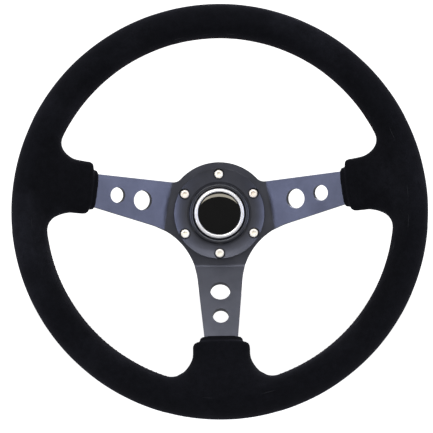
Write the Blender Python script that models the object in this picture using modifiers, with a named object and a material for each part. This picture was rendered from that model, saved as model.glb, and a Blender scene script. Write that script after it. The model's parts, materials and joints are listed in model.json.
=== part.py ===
"""Quick-release steering wheel: a three-spoke dished wheel on a ball-lock hub.

The model is drawn in a wheel frame: x to the right and y up as the driver sees
the wheel, and z along the steering axis towards the driver. z is 0 at the back
of the column base. The empty STEERING_AXIS turns that frame so that +Z is up
and the driver sits at -Y.

The quick release is drawn with its collar pulled back and its balls out, so
that the wheel is free to come off. Locking moves the collar COLLAR_TRAVEL
towards the column, and its cone presses the balls into the spigot's groove.
"""

import math

import bmesh
import bpy
from mathutils import Matrix, Vector

MM = 0.001
FIT = 0.3 * MM  # gap between two pieces that touch or slide on each other
TURN = 2 * math.pi

# Rim, grip and spokes
RIM_DIAMETER = 350 * MM
GRIP_WIDTH = 28.4 * MM  # across the rim
GRIP_DEPTH = 31 * MM  # along the steering axis
DISH = 68 * MM  # spoke plate's front face to the rim's centre plane
SUEDE_THICKNESS = 1.2 * MM
PLATE_THICKNESS = 5 * MM
HUB_DISC_DIAMETER = 98 * MM
SPOKE_RISE = math.radians(10)  # side spokes above the horizontal
SPOKE_GAUGE_RADIUS = 105.5 * MM
SPOKE_GAUGE_HALF_WIDTH = 15.5 * MM
SPOKE_TAPER = 0.12  # half-width lost per unit of radius
SPOKE_END_HALF_WIDTH = 13.6 * MM  # inside the grip
WEB_RADIUS = 61 * MM  # fillet between a side spoke and the bottom spoke
SHOULDER_RADIUS = 9 * MM  # fillet between a side spoke and the hub disc
BEND_START = 46.5 * MM
BEND_RADIUS = 8.5 * MM  # of the plate's middle surface
LARGE_HOLE_DIAMETER = 18.2 * MM
LARGE_HOLE_RADIUS_OUT = 72.5 * MM
SMALL_HOLE_DIAMETER = 14.2 * MM
SMALL_HOLE_RADIUS_OUT = 94 * MM

# Rim core and its rivets
CORE_WIDTH = 9 * MM
CORE_THICKNESS = 4.5 * MM
CORE_SETBACK = 6 * MM  # spoke tab's front face behind the rim's centre plane
RIVET_RADIUS = 2 * MM
RIVET_HEAD_RADIUS = 3.4 * MM
RIVET_HEAD_HEIGHT = 1.6 * MM
RIVET_SPREAD = 7.5 * MM  # each side of the spoke's centreline

# Grip stubs, where the wrap runs down each spoke. A stub's side is its half-width at the end,
# how much it widens per unit of radius, and its fillet into the rim
STUB_LENGTH = 44.3 * MM  # from the rim's middle circle towards the hub
STUB_HALF_THICKNESS = 10 * MM
STUB_SWELL = 3 * MM  # how much thicker it is where it meets the rim
STUB_REACH = 12 * MM  # from the rim's middle circle to the end of the fillets
STUB_EDGE = 2 * MM
STUB_LEAN = 0.07  # skew of the side stubs' ends
UPPER_SIDE = (23.9 * MM, -0.055, 11.5 * MM)
LOWER_SIDE = (21.9 * MM, 0.17, 11.5 * MM)
BOTTOM_SIDE = (24.7 * MM, 0.03, 16.5 * MM)
CUFF_LENGTH = 48.8 * MM  # from the same circle
SIDE_CUFF_HALF_WIDTH = 17.6 * MM
BOTTOM_CUFF_HALF_WIDTH = 19 * MM
CUFF_HALF_THICKNESS = 7.5 * MM

# Column base
BASE_DIAMETER = 84 * MM
BASE_THICKNESS = 8 * MM
BASE_SCREW_CIRCLE = 70 * MM
BASE_SCREW_COUNT = 6
BASE_RECESS_RADIUS = 15 * MM
BASE_RECESS_DEPTH = 6 * MM
SPIGOT_RADIUS = 18 * MM
SPIGOT_LENGTH = 32 * MM
SPIGOT_BORE_RADIUS = 9 * MM
SPLINE_COUNT = 8
SPLINE_HEIGHT = 3 * MM
SPLINE_WIDTH = 5 * MM
SPLINE_LENGTH = 12 * MM

# Ball lock
BALL_RADIUS = 4 * MM
BALL_COUNT = 6
BALL_BITE = 1.8 * MM  # how far a locked ball reaches into the spigot
BALL_LIFT = 0.2 * MM  # gap from a released ball to the spigot
COLLAR_TRAVEL = 6 * MM
SLEEVE_RADIUS = 24 * MM
COLLAR_LIP_LENGTH = 3.8 * MM
COLLAR_BODY_RADIUS = 31.5 * MM
COLLAR_FLANGE_RADIUS = 36.5 * MM
COLLAR_FLANGE_LENGTH = 8 * MM
COLLAR_FLUTE_COUNT = 12
COLLAR_FLUTE_RADIUS = 4 * MM
SPRING_POCKET_RADIUS = 30 * MM
SPRING_WIRE_RADIUS = 0.8 * MM
CIRCLIP_THICKNESS = 1.2 * MM
CIRCLIP_GROOVE_DEPTH = 1 * MM
CIRCLIP_HEIGHT = 2 * MM  # how far the ring stands above the sleeve

# Release hub
HUB_FLANGE_DIAMETER = 88 * MM
HUB_FLANGE_THICKNESS = 8 * MM
HUB_WEB_THICKNESS = 3 * MM
HUB_RECESS_DEPTH = 6 * MM
SPIGOT_END_CLEARANCE = 1 * MM

# Horn ring and wheel screws
WHEEL_SCREW_CIRCLE = 74 * MM
WHEEL_SCREW_COUNT = 6
SCREW_RADIUS = 2.5 * MM
SCREW_HEAD_RADIUS = 4.25 * MM
SCREW_HEAD_HEIGHT = 3.5 * MM
SCREW_SOCKET_RADIUS = 2.2 * MM  # to the corners of the hexagon
SCREW_LENGTH = 14 * MM
SOCKET_CUTTER_LENGTH = 5 * MM
COUNTERBORE_CLEARANCE = 0.45 * MM
RING_DIAMETER = 84.8 * MM
RING_BORE_CLEARANCE = 1.5 * MM  # round the horn bezel
RING_HEIGHT = 6.6 * MM
RING_INNER_HEIGHT = 3.2 * MM
RING_FLOOR = 1 * MM
RING_LIP_HEIGHT = 1.5 * MM
RING_CORNER = 0.5 * MM

# Horn button
HORN_TRAVEL = 1.8 * MM
HORN_BODY_RADIUS = 27 * MM
HORN_WALL = 2 * MM
HORN_FLOOR = 1.5 * MM
HORN_FOOT_WIDTH = 2.6 * MM
HORN_FOOT_CLEARANCE = 0.4 * MM  # from the foot to the hub's recess
BEZEL_OVERHANG = 1.5 * MM  # beyond the horn housing
BEZEL_LAP = 3 * MM  # inside the housing's outer wall
BEZEL_HEIGHT = 5 * MM
CAP_CLEARANCE = 0.4 * MM  # from the cap to the bezel
CAP_FLANGE_HEIGHT = 2.7 * MM
CAP_HEIGHT = 6.8 * MM
TRIM_SETBACK = 0.3 * MM  # from the cap's edge
TRIM_WIDTH = 3.4 * MM
TRIM_HEIGHT = 2.5 * MM
DOME_EDGE_HEIGHT = 1 * MM
DOME_RISE = 4 * MM
HORN_SPRING_RADIUS = 8 * MM
HORN_SPRING_WIRE_RADIUS = 0.5 * MM
CONTACT_INNER_RADIUS = 12 * MM
CONTACT_OUTER_RADIUS = 19 * MM
CONTACT_THICKNESS = 0.8 * MM

# Horn circuit through the hub
CARRIER_RADIUS = 8 * MM
CARRIER_FLANGE_RADIUS = 10.5 * MM
CARRIER_FLANGE_HEIGHT = 1.2 * MM
CARRIER_REACH = 3 * MM  # into the spigot's bore
CARRIER_WALL = 1.3 * MM
PIN_RADIUS = 2 * MM
PIN_FLANGE_RADIUS = 3.4 * MM
PIN_FLANGE_HEIGHT = 0.8 * MM
PIN_SPRING_LENGTH = 3.7 * MM
PIN_SPRING_RADIUS = 2.7 * MM
PIN_SPRING_WIRE_RADIUS = 0.3 * MM
LEAD_RADIUS = 0.8 * MM
LEAD_OFFSET = 16 * MM
LEAD_CLEARANCE = 0.5 * MM

# Facets
RIM_SEGMENTS = 40
GRIP_SEGMENTS = 8
TURNED_SEGMENTS = 36
SMALL_SEGMENTS = 12
LARGE_HOLE_SEGMENTS = 20
CUTTER_TWIST = math.radians(7)

# Stations along the steering axis, from the back of the base
BASE_FRONT = BASE_THICKNESS
SPLINE_FRONT = BASE_FRONT + SPLINE_LENGTH
BALL_STATION = SPLINE_FRONT + BALL_RADIUS + 2 * MM
SPIGOT_FRONT = BASE_FRONT + SPIGOT_LENGTH
SLEEVE_BACK = BASE_FRONT + FIT
WEB_BACK = SPIGOT_FRONT + SPIGOT_END_CLEARANCE
WEB_FRONT = WEB_BACK + HUB_WEB_THICKNESS
HUB_FRONT = WEB_FRONT + HUB_RECESS_DEPTH
HUB_FLANGE_BACK = HUB_FRONT - HUB_FLANGE_THICKNESS
PLATE_BACK = HUB_FRONT + FIT
PLATE_FRONT = PLATE_BACK + PLATE_THICKNESS
PLATE_MIDDLE = PLATE_BACK + PLATE_THICKNESS / 2
RING_BACK = PLATE_FRONT + FIT
RIM_STATION = PLATE_FRONT + DISH
TAB_FRONT = RIM_STATION - CORE_SETBACK
CORE_BACK = TAB_FRONT + FIT
CORE_FRONT = CORE_BACK + CORE_THICKNESS

# Radii that follow from the fits
SLEEVE_BORE_RADIUS = SPIGOT_RADIUS + FIT
BALL_LOCKED_RADIUS = SPIGOT_RADIUS + BALL_RADIUS - BALL_BITE
BALL_FREE_RADIUS = SPIGOT_RADIUS + BALL_RADIUS + BALL_LIFT
COLLAR_BORE_RADIUS = SLEEVE_RADIUS + FIT
RIM_RADIUS = (RIM_DIAMETER - GRIP_WIDTH) / 2
STUB_END_RADIUS = RIM_RADIUS - STUB_LENGTH
CUFF_END_RADIUS = RIM_RADIUS - CUFF_LENGTH
PLATE_BORE_RADIUS = HORN_BODY_RADIUS + FIT
HUB_RECESS_RADIUS = HORN_BODY_RADIUS + HORN_FOOT_WIDTH + HORN_FOOT_CLEARANCE
BEZEL_RADIUS = HORN_BODY_RADIUS + BEZEL_OVERHANG
BEZEL_INNER_RADIUS = HORN_BODY_RADIUS - BEZEL_LAP
RING_BORE_RADIUS = BEZEL_RADIUS + RING_BORE_CLEARANCE
CAP_RADIUS = BEZEL_INNER_RADIUS - CAP_CLEARANCE
TRIM_RADIUS = CAP_RADIUS - TRIM_SETBACK
SCREW_HOLE_RADIUS = SCREW_RADIUS + FIT
RIVET_HOLE_RADIUS = RIVET_RADIUS + FIT
SPOKE_ANGLES = (SPOKE_RISE, math.pi - SPOKE_RISE, -math.pi / 2)

# Collar stations with the collar pulled back
COLLAR_RECESS_BACK = BALL_STATION - BALL_RADIUS - FIT
COLLAR_BACK = COLLAR_RECESS_BACK - COLLAR_LIP_LENGTH
COLLAR_FRONT = HUB_FLANGE_BACK - 2 * FIT
COLLAR_RECESS_RADIUS = BALL_FREE_RADIUS + BALL_RADIUS + FIT
COLLAR_CONE_SLOPE = (BALL_FREE_RADIUS - BALL_LOCKED_RADIUS) / COLLAR_TRAVEL
COLLAR_CONE_FRONT = BALL_STATION + (COLLAR_RECESS_RADIUS - COLLAR_BORE_RADIUS) / COLLAR_CONE_SLOPE
COLLAR_POCKET_BACK = COLLAR_CONE_FRONT + 1.2 * MM
CIRCLIP_FRONT = COLLAR_BACK - COLLAR_TRAVEL - FIT
CIRCLIP_BACK = CIRCLIP_FRONT - CIRCLIP_THICKNESS

# Horn stations
HORN_FOOT_FRONT = HUB_FRONT
HORN_FLOOR_BACK = HUB_FRONT - HORN_FLOOR
HORN_FLOOR_FRONT = HUB_FRONT + FIT / 2
BEZEL_BACK = RING_BACK + RING_LIP_HEIGHT + FIT
CONTACT_BASE_BACK = HORN_FLOOR_FRONT + FIT
CONTACT_BASE_FRONT = CONTACT_BASE_BACK + CONTACT_THICKNESS
CONTACT_PLATE_BACK = CONTACT_BASE_FRONT + HORN_TRAVEL + FIT
CONTACT_PLATE_FRONT = CONTACT_PLATE_BACK + CONTACT_THICKNESS
CAP_BACK = CONTACT_PLATE_FRONT + FIT
CAP_FRONT = CAP_BACK + CAP_HEIGHT
TRIM_BACK = CAP_FRONT + FIT

# Contacts between the hub and the spigot
CARRIER_BACK = SPIGOT_FRONT - CARRIER_REACH
CARRIER_FLANGE_BACK = WEB_FRONT + FIT
CARRIER_FRONT = CARRIER_FLANGE_BACK + CARRIER_FLANGE_HEIGHT
CARRIER_CAVITY_RADIUS = PIN_FLANGE_RADIUS + 0.4 * MM
PIN_FLANGE_BACK = CARRIER_BACK + CARRIER_WALL + FIT
PIN_FLANGE_FRONT = PIN_FLANGE_BACK + PIN_FLANGE_HEIGHT
PIN_TIP = CARRIER_BACK - 0.7 * MM
PIN_SPRING_BACK = PIN_FLANGE_FRONT + FIT
PIN_SPRING_FRONT = PIN_SPRING_BACK + PIN_SPRING_LENGTH
TERMINAL_BACK = PIN_SPRING_FRONT + FIT
TERMINAL_FRONT = TERMINAL_BACK + 0.8 * MM
TERMINAL_TOP = HORN_FLOOR_BACK - FIT
LEAD_STATION = CARRIER_FRONT + FIT + LEAD_RADIUS
BASE_CONTACT_FRONT = PIN_TIP - FIT
BASE_CONTACT_HEAD_RADIUS = 5 * MM
BASE_CONTACT_HEAD_HEIGHT = 0.8 * MM
BASE_CONTACT_SHANK_RADIUS = 3 * MM

parts = bpy.data.collections.new("quick_release_steering_wheel")
cutters = bpy.data.collections.new("cutters")


# ---------------------------------------------------------------- helpers
def material(name, colour, roughness, metallic=0.0):
    """A Principled material with linear colour values."""
    made = bpy.data.materials.new(name)
    made.use_nodes = True
    shader = made.node_tree.nodes["Principled BSDF"]
    shader.inputs["Base Color"].default_value = (*colour, 1.0)
    shader.inputs["Roughness"].default_value = roughness
    shader.inputs["Metallic"].default_value = metallic
    return made


def place(name, mesh, parent, look=None, at=(0, 0, 0), turn=0.0):
    """An object of the mesh, on its parent; without a look it is a cutter."""
    made = bpy.data.objects.new(name, mesh)
    made.location = at
    made.rotation_euler = (0, 0, turn)
    made.parent = parent
    if look is None:
        cutters.objects.link(made)
        made.hide_render = True
        made.display_type = "WIRE"
    else:
        parts.objects.link(made)
        if not mesh.materials:
            mesh.materials.append(look)
    return made


def screw(target, segments):
    """Turn the object's profile about its own z axis."""
    turned = target.modifiers.new("turn", "SCREW")
    turned.angle = TURN
    turned.axis = "Z"
    turned.steps = segments
    turned.render_steps = segments
    turned.use_merge_vertices = True
    turned.merge_threshold = 0.00001
    turned.use_smooth_shade = True


def profile_mesh(name, points, closed):
    """A wire in the xz plane through (radius, station) points."""
    mesh = bpy.data.meshes.new(name)
    edges = [(i, i + 1) for i in range(len(points) - 1)]
    if closed:
        edges.append((len(points) - 1, 0))
    mesh.from_pydata([(radius, 0, station) for radius, station in points], edges, [])
    return mesh


def turned(name, points, parent, look=None, segments=TURNED_SEGMENTS, closed=True, at=(0, 0, 0)):
    """A turned piece; its points run down its outer side."""
    made = place(name, profile_mesh(name, points, closed), parent, look, at)
    screw(made, segments)
    return made


def boolean(target, tool, operation="DIFFERENCE", solver="EXACT"):
    """Cut the tool from the target, or join it on."""
    step = target.modifiers.new(operation.lower() + "_" + tool.name, "BOOLEAN")
    step.operation = operation
    step.solver = solver
    step.object = tool


def arc(centre, radius, start, end, steps):
    """Points along an arc, from angle start to angle end."""
    angles = [start + (end - start) * k / steps for k in range(steps + 1)]
    return [(centre[0] + radius * math.cos(a), centre[1] + radius * math.sin(a)) for a in angles]


def around(count, radius, first=0.0):
    """(x, y, angle) of equally spaced places on a circle."""
    angles = [first + TURN * k / count for k in range(count)]
    return [(radius * math.cos(a), radius * math.sin(a), a) for a in angles]


def pin_cutter(name, parent, radius, back, front, at=(0, 0), segments=SMALL_SEGMENTS):
    """A round cutter along the steering axis, turned so that its corners miss other corners."""
    points = [(0, front), (radius, front), (radius, back), (0, back)]
    made = turned(name, points, parent, None, segments, False, (at[0], at[1], 0))
    made.rotation_euler = (0, 0, CUTTER_TWIST)
    return made


def coil(name, parent, look, radius, wire_radius, back, front, turns, per_turn=10):
    """A coil spring between two stations, ends included."""
    low = back + wire_radius
    high = front - wire_radius
    steps = round(turns * per_turn)
    curve = bpy.data.curves.new(name, "CURVE")
    curve.dimensions = "3D"
    curve.bevel_depth = wire_radius
    curve.bevel_resolution = 2
    curve.use_fill_caps = True
    spline = curve.splines.new("POLY")
    spline.points.add(steps)
    for k, point in enumerate(spline.points):
        angle = TURN * k / per_turn
        height = low + (high - low) * k / steps
        point.co = (radius * math.cos(angle), radius * math.sin(angle), height, 1)
    return place(name, curve, parent, look)


# ------------------------------------------------------------ spoke plate
def solve_slope():
    """(slope, straight length) of a plate with two equal opposite bends."""
    reach = RIM_RADIUS - CORE_WIDTH / 2 - FIT - 4 * MM - BEND_START
    rise = TAB_FRONT - PLATE_FRONT
    straight = math.sqrt((rise - 2 * BEND_RADIUS) ** 2 + reach**2 - 4 * BEND_RADIUS**2)
    slope = math.atan2(rise - 2 * BEND_RADIUS, reach) + math.atan2(2 * BEND_RADIUS, straight)
    return slope, straight


SLOPE, STRAIGHT = solve_slope()
BEND_LENGTH = BEND_RADIUS * SLOPE
SECOND_BEND = BEND_START + BEND_LENGTH + STRAIGHT


def bent(length):
    """(radius out, height, tilt) of the plate's middle at a length along it."""
    if length <= BEND_START:
        return length, 0.0, 0.0
    tilt = min((length - BEND_START) / BEND_RADIUS, SLOPE)
    out = BEND_START + BEND_RADIUS * math.sin(tilt)
    height = BEND_RADIUS * (1 - math.cos(tilt))
    run = min(max(length - BEND_START - BEND_LENGTH, 0.0), STRAIGHT)
    out += run * math.cos(SLOPE)
    height += run * math.sin(SLOPE)
    if length > SECOND_BEND:
        back = min((length - SECOND_BEND) / BEND_RADIUS, SLOPE)
        out += BEND_RADIUS * (math.sin(SLOPE) - math.sin(SLOPE - back))
        height += BEND_RADIUS * (math.cos(SLOPE - back) - math.cos(SLOPE))
        tilt = SLOPE - back
        out += max(length - SECOND_BEND - BEND_LENGTH, 0.0)
    return out, height, tilt


def length_at(out):
    """The length along the unbent plate whose middle lies at radius out."""
    low, high = 0.0, 2 * out
    for _ in range(50):
        middle = (low + high) / 2
        if bent(middle)[0] < out:
            low = middle
        else:
            high = middle
    return low


def unbent(point):
    """Where a point of the front view lies on the flat blank."""
    for angle in SPOKE_ANGLES:
        along = Vector((math.cos(angle), math.sin(angle)))
        out = point.dot(along)
        if out > BEND_START:
            return point + along * (length_at(out) - out)
    return point


def half_width(out):
    """Half the spoke's width at a radius."""
    tapered = SPOKE_GAUGE_HALF_WIDTH + (SPOKE_GAUGE_RADIUS - out) * SPOKE_TAPER
    return max(tapered, SPOKE_END_HALF_WIDTH)


def bend_plate(mesh):
    """Fold a flat plate's three spokes; its middle lies at z = 0."""
    shaped = bmesh.new()
    shaped.from_mesh(mesh)
    bmesh.ops.remove_doubles(shaped, verts=shaped.verts, dist=0.000001)
    stations = [BEND_START + BEND_LENGTH * k / 3 for k in range(4)]
    stations += [SECOND_BEND + BEND_LENGTH * k / 2 for k in range(3)]
    for angle in SPOKE_ANGLES:
        along = Vector((math.cos(angle), math.sin(angle), 0))
        for station in stations:
            everything = shaped.verts[:] + shaped.edges[:] + shaped.faces[:]
            bmesh.ops.bisect_plane(
                shaped, geom=everything, dist=0.000001, plane_co=along * station, plane_no=along
            )
    for vert in shaped.verts:
        for angle in SPOKE_ANGLES:
            along = Vector((math.cos(angle), math.sin(angle), 0))
            length = vert.co.dot(along)
            if length > BEND_START:
                out, height, tilt = bent(length)
                depth = vert.co.z
                vert.co += along * (out - depth * math.sin(tilt) - length)
                vert.co.z = height + depth * math.cos(tilt)
                break
    bmesh.ops.triangulate(shaped, faces=shaped.faces)
    bmesh.ops.recalc_face_normals(shaped, faces=shaped.faces)
    shaped.to_mesh(mesh)
    shaped.free()


def flat_plate(name, loops, thickness):
    """A mesh of a flat plate from outline loops, its middle at z = 0."""
    curve = bpy.data.curves.new(name, "CURVE")
    curve.dimensions = "2D"
    curve.fill_mode = "BOTH"
    curve.extrude = thickness / 2
    for loop in loops:
        spline = curve.splines.new("POLY")
        spline.points.add(len(loop) - 1)
        spline.use_cyclic_u = True
        for point, (x, y) in zip(spline.points, loop):
            point.co = (x, y, 0, 1)
    drawn = bpy.data.objects.new(name, curve)
    cutters.objects.link(drawn)
    bpy.context.view_layer.update()
    depsgraph = bpy.context.evaluated_depsgraph_get()
    mesh = bpy.data.meshes.new_from_object(drawn.evaluated_get(depsgraph))
    bpy.data.objects.remove(drawn)
    bpy.data.curves.remove(curve)
    return mesh


def cross(point_a, way_a, point_b, way_b):
    """Where two lines meet."""
    span = way_a.x * way_b.y - way_a.y * way_b.x
    gap = point_b - point_a
    return point_a + way_a * ((gap.x * way_b.y - gap.y * way_b.x) / span)


def spoke_edge(angle, side):
    """(a point, the outward direction) of a spoke's straight tapered edge."""
    along = Vector((math.cos(angle), math.sin(angle)))
    left = Vector((-along.y, along.x)) * side
    start = along * SPOKE_GAUGE_RADIUS + left * SPOKE_GAUGE_HALF_WIDTH
    return start, (along - left * SPOKE_TAPER).normalized()


def fillet(centre, radius, start, end, steps):
    """Arc points about a centre from one point's direction to another's."""
    first = math.atan2(start.y - centre.y, start.x - centre.x)
    last = math.atan2(end.y - centre.y, end.x - centre.x)
    swing = (last - first + math.pi) % TURN - math.pi
    return [Vector(p) for p in arc(centre, radius, first, first + swing, steps)]


def spoke_end(angle, sides):
    """The corners of a spoke's straight part and tab, walked from side to side."""
    along = Vector((math.cos(angle), math.sin(angle)))
    left = Vector((-along.y, along.x))
    taper_out = SPOKE_GAUGE_RADIUS + (SPOKE_GAUGE_HALF_WIDTH - SPOKE_END_HALF_WIDTH) / SPOKE_TAPER
    tab_out = RIM_RADIUS + CORE_WIDTH / 2
    outs = (taper_out, tab_out, tab_out, taper_out)
    lanes = (sides[0], sides[0], sides[1], sides[1])
    return [along * out + left * lane * SPOKE_END_HALF_WIDTH for out, lane in zip(outs, lanes)]


def spider_outline():
    """The front view of the hub disc and its three spokes, clockwise from the top."""
    hub = HUB_DISC_DIAMETER / 2
    start, way = spoke_edge(SPOKE_RISE, 1)
    normal = Vector((-way.y, way.x))
    # the shoulder's centre lies SHOULDER_RADIUS above the edge and outside the hub disc
    lift = (start + normal * SHOULDER_RADIUS).dot(normal)
    reach = math.sqrt((hub + SHOULDER_RADIUS) ** 2 - lift**2)
    shoulder = normal * lift + way * reach
    on_hub = shoulder * (hub / shoulder.length)
    on_edge = shoulder - normal * SHOULDER_RADIUS
    right = fillet(Vector((0, 0)), hub, Vector((0, hub)), on_hub, 10)
    right += fillet(shoulder, SHOULDER_RADIUS, on_hub, on_edge, 5)
    right += spoke_end(SPOKE_RISE, (1, -1))
    lower, lower_way = spoke_edge(SPOKE_RISE, -1)
    beside, beside_way = spoke_edge(-math.pi / 2, 1)
    lower_normal = Vector((lower_way.y, -lower_way.x))
    beside_normal = Vector((-beside_way.y, beside_way.x))
    web = cross(
        lower + lower_normal * WEB_RADIUS,
        lower_way,
        beside + beside_normal * WEB_RADIUS,
        beside_way,
    )
    on_lower = web - lower_normal * WEB_RADIUS
    on_beside = web - beside_normal * WEB_RADIUS
    right += fillet(web, WEB_RADIUS, on_lower, on_beside, 14)
    right += spoke_end(-math.pi / 2, (1, -1))[:2]
    left = [Vector((-p.x, p.y)) for p in reversed(right) if abs(p.x) > 0.00001]
    return right + left


def round_loop(x, y, radius, segments):
    """A circle as an outline loop."""
    return [(x + radius * math.cos(a), y + radius * math.sin(a)) for _, _, a in around(segments, 1)]


def spoke_point(angle, out, aside=0.0):
    """A point of the front view, by radius along a spoke and offset to its left."""
    along = Vector((math.cos(angle), math.sin(angle)))
    return along * out + Vector((-along.y, along.x)) * aside


def rivet_places():
    """Front-view places of the two rivets in each spoke's tab."""
    out = math.sqrt(RIM_RADIUS**2 - RIVET_SPREAD**2)
    return [spoke_point(a, out, side * RIVET_SPREAD) for a in SPOKE_ANGLES for side in (1, -1)]


def make_spoke_frame(parent, look):
    loops = [[tuple(unbent(point)) for point in spider_outline()]]
    loops.append(round_loop(0, 0, PLATE_BORE_RADIUS, TURNED_SEGMENTS))
    for x, y, _ in around(WHEEL_SCREW_COUNT, WHEEL_SCREW_CIRCLE / 2, TURN / 4):
        loops.append(round_loop(x, y, SCREW_HOLE_RADIUS, SMALL_SEGMENTS))
    sizes = ((LARGE_HOLE_RADIUS_OUT, LARGE_HOLE_DIAMETER), (SMALL_HOLE_RADIUS_OUT, SMALL_HOLE_DIAMETER))
    for angle in SPOKE_ANGLES:
        for out, diameter in sizes:
            x, y = unbent(spoke_point(angle, out))
            loops.append(round_loop(x, y, diameter / 2, LARGE_HOLE_SEGMENTS))
    for place_out in rivet_places():
        x, y = unbent(place_out)
        loops.append(round_loop(x, y, RIVET_HOLE_RADIUS, SMALL_SEGMENTS))
    mesh = flat_plate("spoke_frame", loops, PLATE_THICKNESS)
    bend_plate(mesh)
    return place("spoke_frame", mesh, parent, look, (0, 0, PLATE_MIDDLE))


def make_spoke_slot(angle, parent):
    """Room in the grip for one spoke and its tab, with FIT all round."""
    outs = [CUFF_END_RADIUS - 6 * MM, SPOKE_GAUGE_RADIUS + 12 * MM, RIM_RADIUS + CORE_WIDTH / 2 + FIT]
    upper = [spoke_point(angle, out, half_width(out) + FIT) for out in outs]
    lower = [spoke_point(angle, out, -half_width(out) - FIT) for out in reversed(outs)]
    loop = [tuple(unbent(point)) for point in upper + lower]
    mesh = flat_plate("spoke_slot", [loop], PLATE_THICKNESS + 2 * FIT)
    bend_plate(mesh)
    return place("spoke_slot", mesh, parent, None, (0, 0, PLATE_MIDDLE))


# ------------------------------------------------------------------- grip
def grip_ring(name, inset, parent, look):
    """The rim's round grip, drawn in by inset."""
    # the section's flats, not its corners, lie on the grip's true width and depth
    corner = 1 / math.cos(TURN / GRIP_SEGMENTS / 2)
    half_across = (GRIP_WIDTH / 2 - inset) * corner
    half_along = (GRIP_DEPTH / 2 - inset) * corner
    points = []
    for k in range(GRIP_SEGMENTS):
        angle = TURN / 4 - TURN * (k + 0.5) / GRIP_SEGMENTS
        station = RIM_STATION + half_along * math.sin(angle)
        points.append((RIM_RADIUS + half_across * math.cos(angle), station))
    return turned(name, points, parent, look, RIM_SEGMENTS)


def loft(name, sections, angle, parent):
    """A closed body through rounded sections (radius out, half-width left, right, half-thickness)."""
    count = 16
    lean = STUB_LEAN * math.cos(angle)
    shaped = bmesh.new()
    rings = []
    for out, left, right, half_thick in sections:
        run = (out - BEND_START) / math.cos(SLOPE)
        centre = Vector((out, 0, run * math.sin(SLOPE)))
        ring = []
        for k in range(count):
            turn = TURN * k / count
            half_across = left if math.cos(turn) > 0 else right
            across = half_across * math.copysign(abs(math.cos(turn)) ** 0.7, math.cos(turn))
            up = half_thick * math.copysign(abs(math.sin(turn)) ** 0.7, math.sin(turn))
            skew = across * lean
            offset = Vector((skew * math.cos(SLOPE), across, skew * math.sin(SLOPE)))
            offset += Vector((-up * math.sin(SLOPE), 0, up * math.cos(SLOPE)))
            ring.append(shaped.verts.new(centre + offset))
        rings.append(ring)
    for first, second in zip(rings, rings[1:]):
        for k in range(count):
            after = (k + 1) % count
            shaped.faces.new((first[k], first[after], second[after], second[k]))
    shaped.faces.new(list(reversed(rings[0])))
    shaped.faces.new(rings[-1])
    bmesh.ops.recalc_face_normals(shaped, faces=shaped.faces)
    mesh = bpy.data.meshes.new(name)
    shaped.to_mesh(mesh)
    shaped.free()
    return place(name, mesh, parent, None, (0, 0, PLATE_MIDDLE), angle)


def stub_side(out, side, inset):
    """Half a stub's width on one side at a radius, with its fillet into the rim."""
    start, flare, fillet_radius = side
    inner = RIM_RADIUS - STUB_REACH
    aside = start + flare * (inner - STUB_END_RADIUS) * 0.6 + fillet_radius
    centre_out = math.sqrt((inner - fillet_radius) ** 2 - aside**2)
    over = min(max(out - centre_out, 0.0), fillet_radius)
    straight = start + flare * (out - STUB_END_RADIUS)
    return straight + fillet_radius - math.sqrt(fillet_radius**2 - over**2) - inset


def stub_sections(left, right, inset):
    """The wrapped stub from its end to the middle of the rim."""
    end = STUB_END_RADIUS + inset
    thick = STUB_HALF_THICKNESS - inset
    widths = [stub_side(end, side, inset + STUB_EDGE) for side in (left, right)]
    sections = [(end, *widths, thick - STUB_EDGE)]
    first = end + STUB_EDGE
    last = RIM_RADIUS - STUB_REACH
    for share in (0.0, 0.4, 0.6, 0.8, 1.0):
        out = first + (last - first) * share
        widths = [stub_side(out, side, inset) for side in (left, right)]
        sections.append((out, *widths, thick + STUB_SWELL * share**2))
    sections.append((RIM_RADIUS, *widths, thick + MM))
    return sections


def cuff_sections(half_width, inset):
    """The narrow end of the wrap, from its end into the stub."""
    wide = half_width - inset
    thick = CUFF_HALF_THICKNESS - inset
    outs = (CUFF_END_RADIUS + inset, STUB_END_RADIUS + 5 * MM)
    return [(out, wide, wide, thick) for out in outs]


def grip_body(name, inset, parent, look=None):
    """The rim with its three stubs and cuffs, drawn in by inset."""
    made = grip_ring(name, inset, parent, look)
    spokes = (
        (UPPER_SIDE, LOWER_SIDE, SIDE_CUFF_HALF_WIDTH),
        (LOWER_SIDE, UPPER_SIDE, SIDE_CUFF_HALF_WIDTH),
        (BOTTOM_SIDE, BOTTOM_SIDE, BOTTOM_CUFF_HALF_WIDTH),
    )
    for angle, (left, right, cuff) in zip(SPOKE_ANGLES, spokes):
        boolean(made, loft("stub", stub_sections(left, right, inset), angle, parent), "UNION")
        boolean(made, loft("cuff", cuff_sections(cuff, inset), angle, parent), "UNION")
    return made


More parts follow.
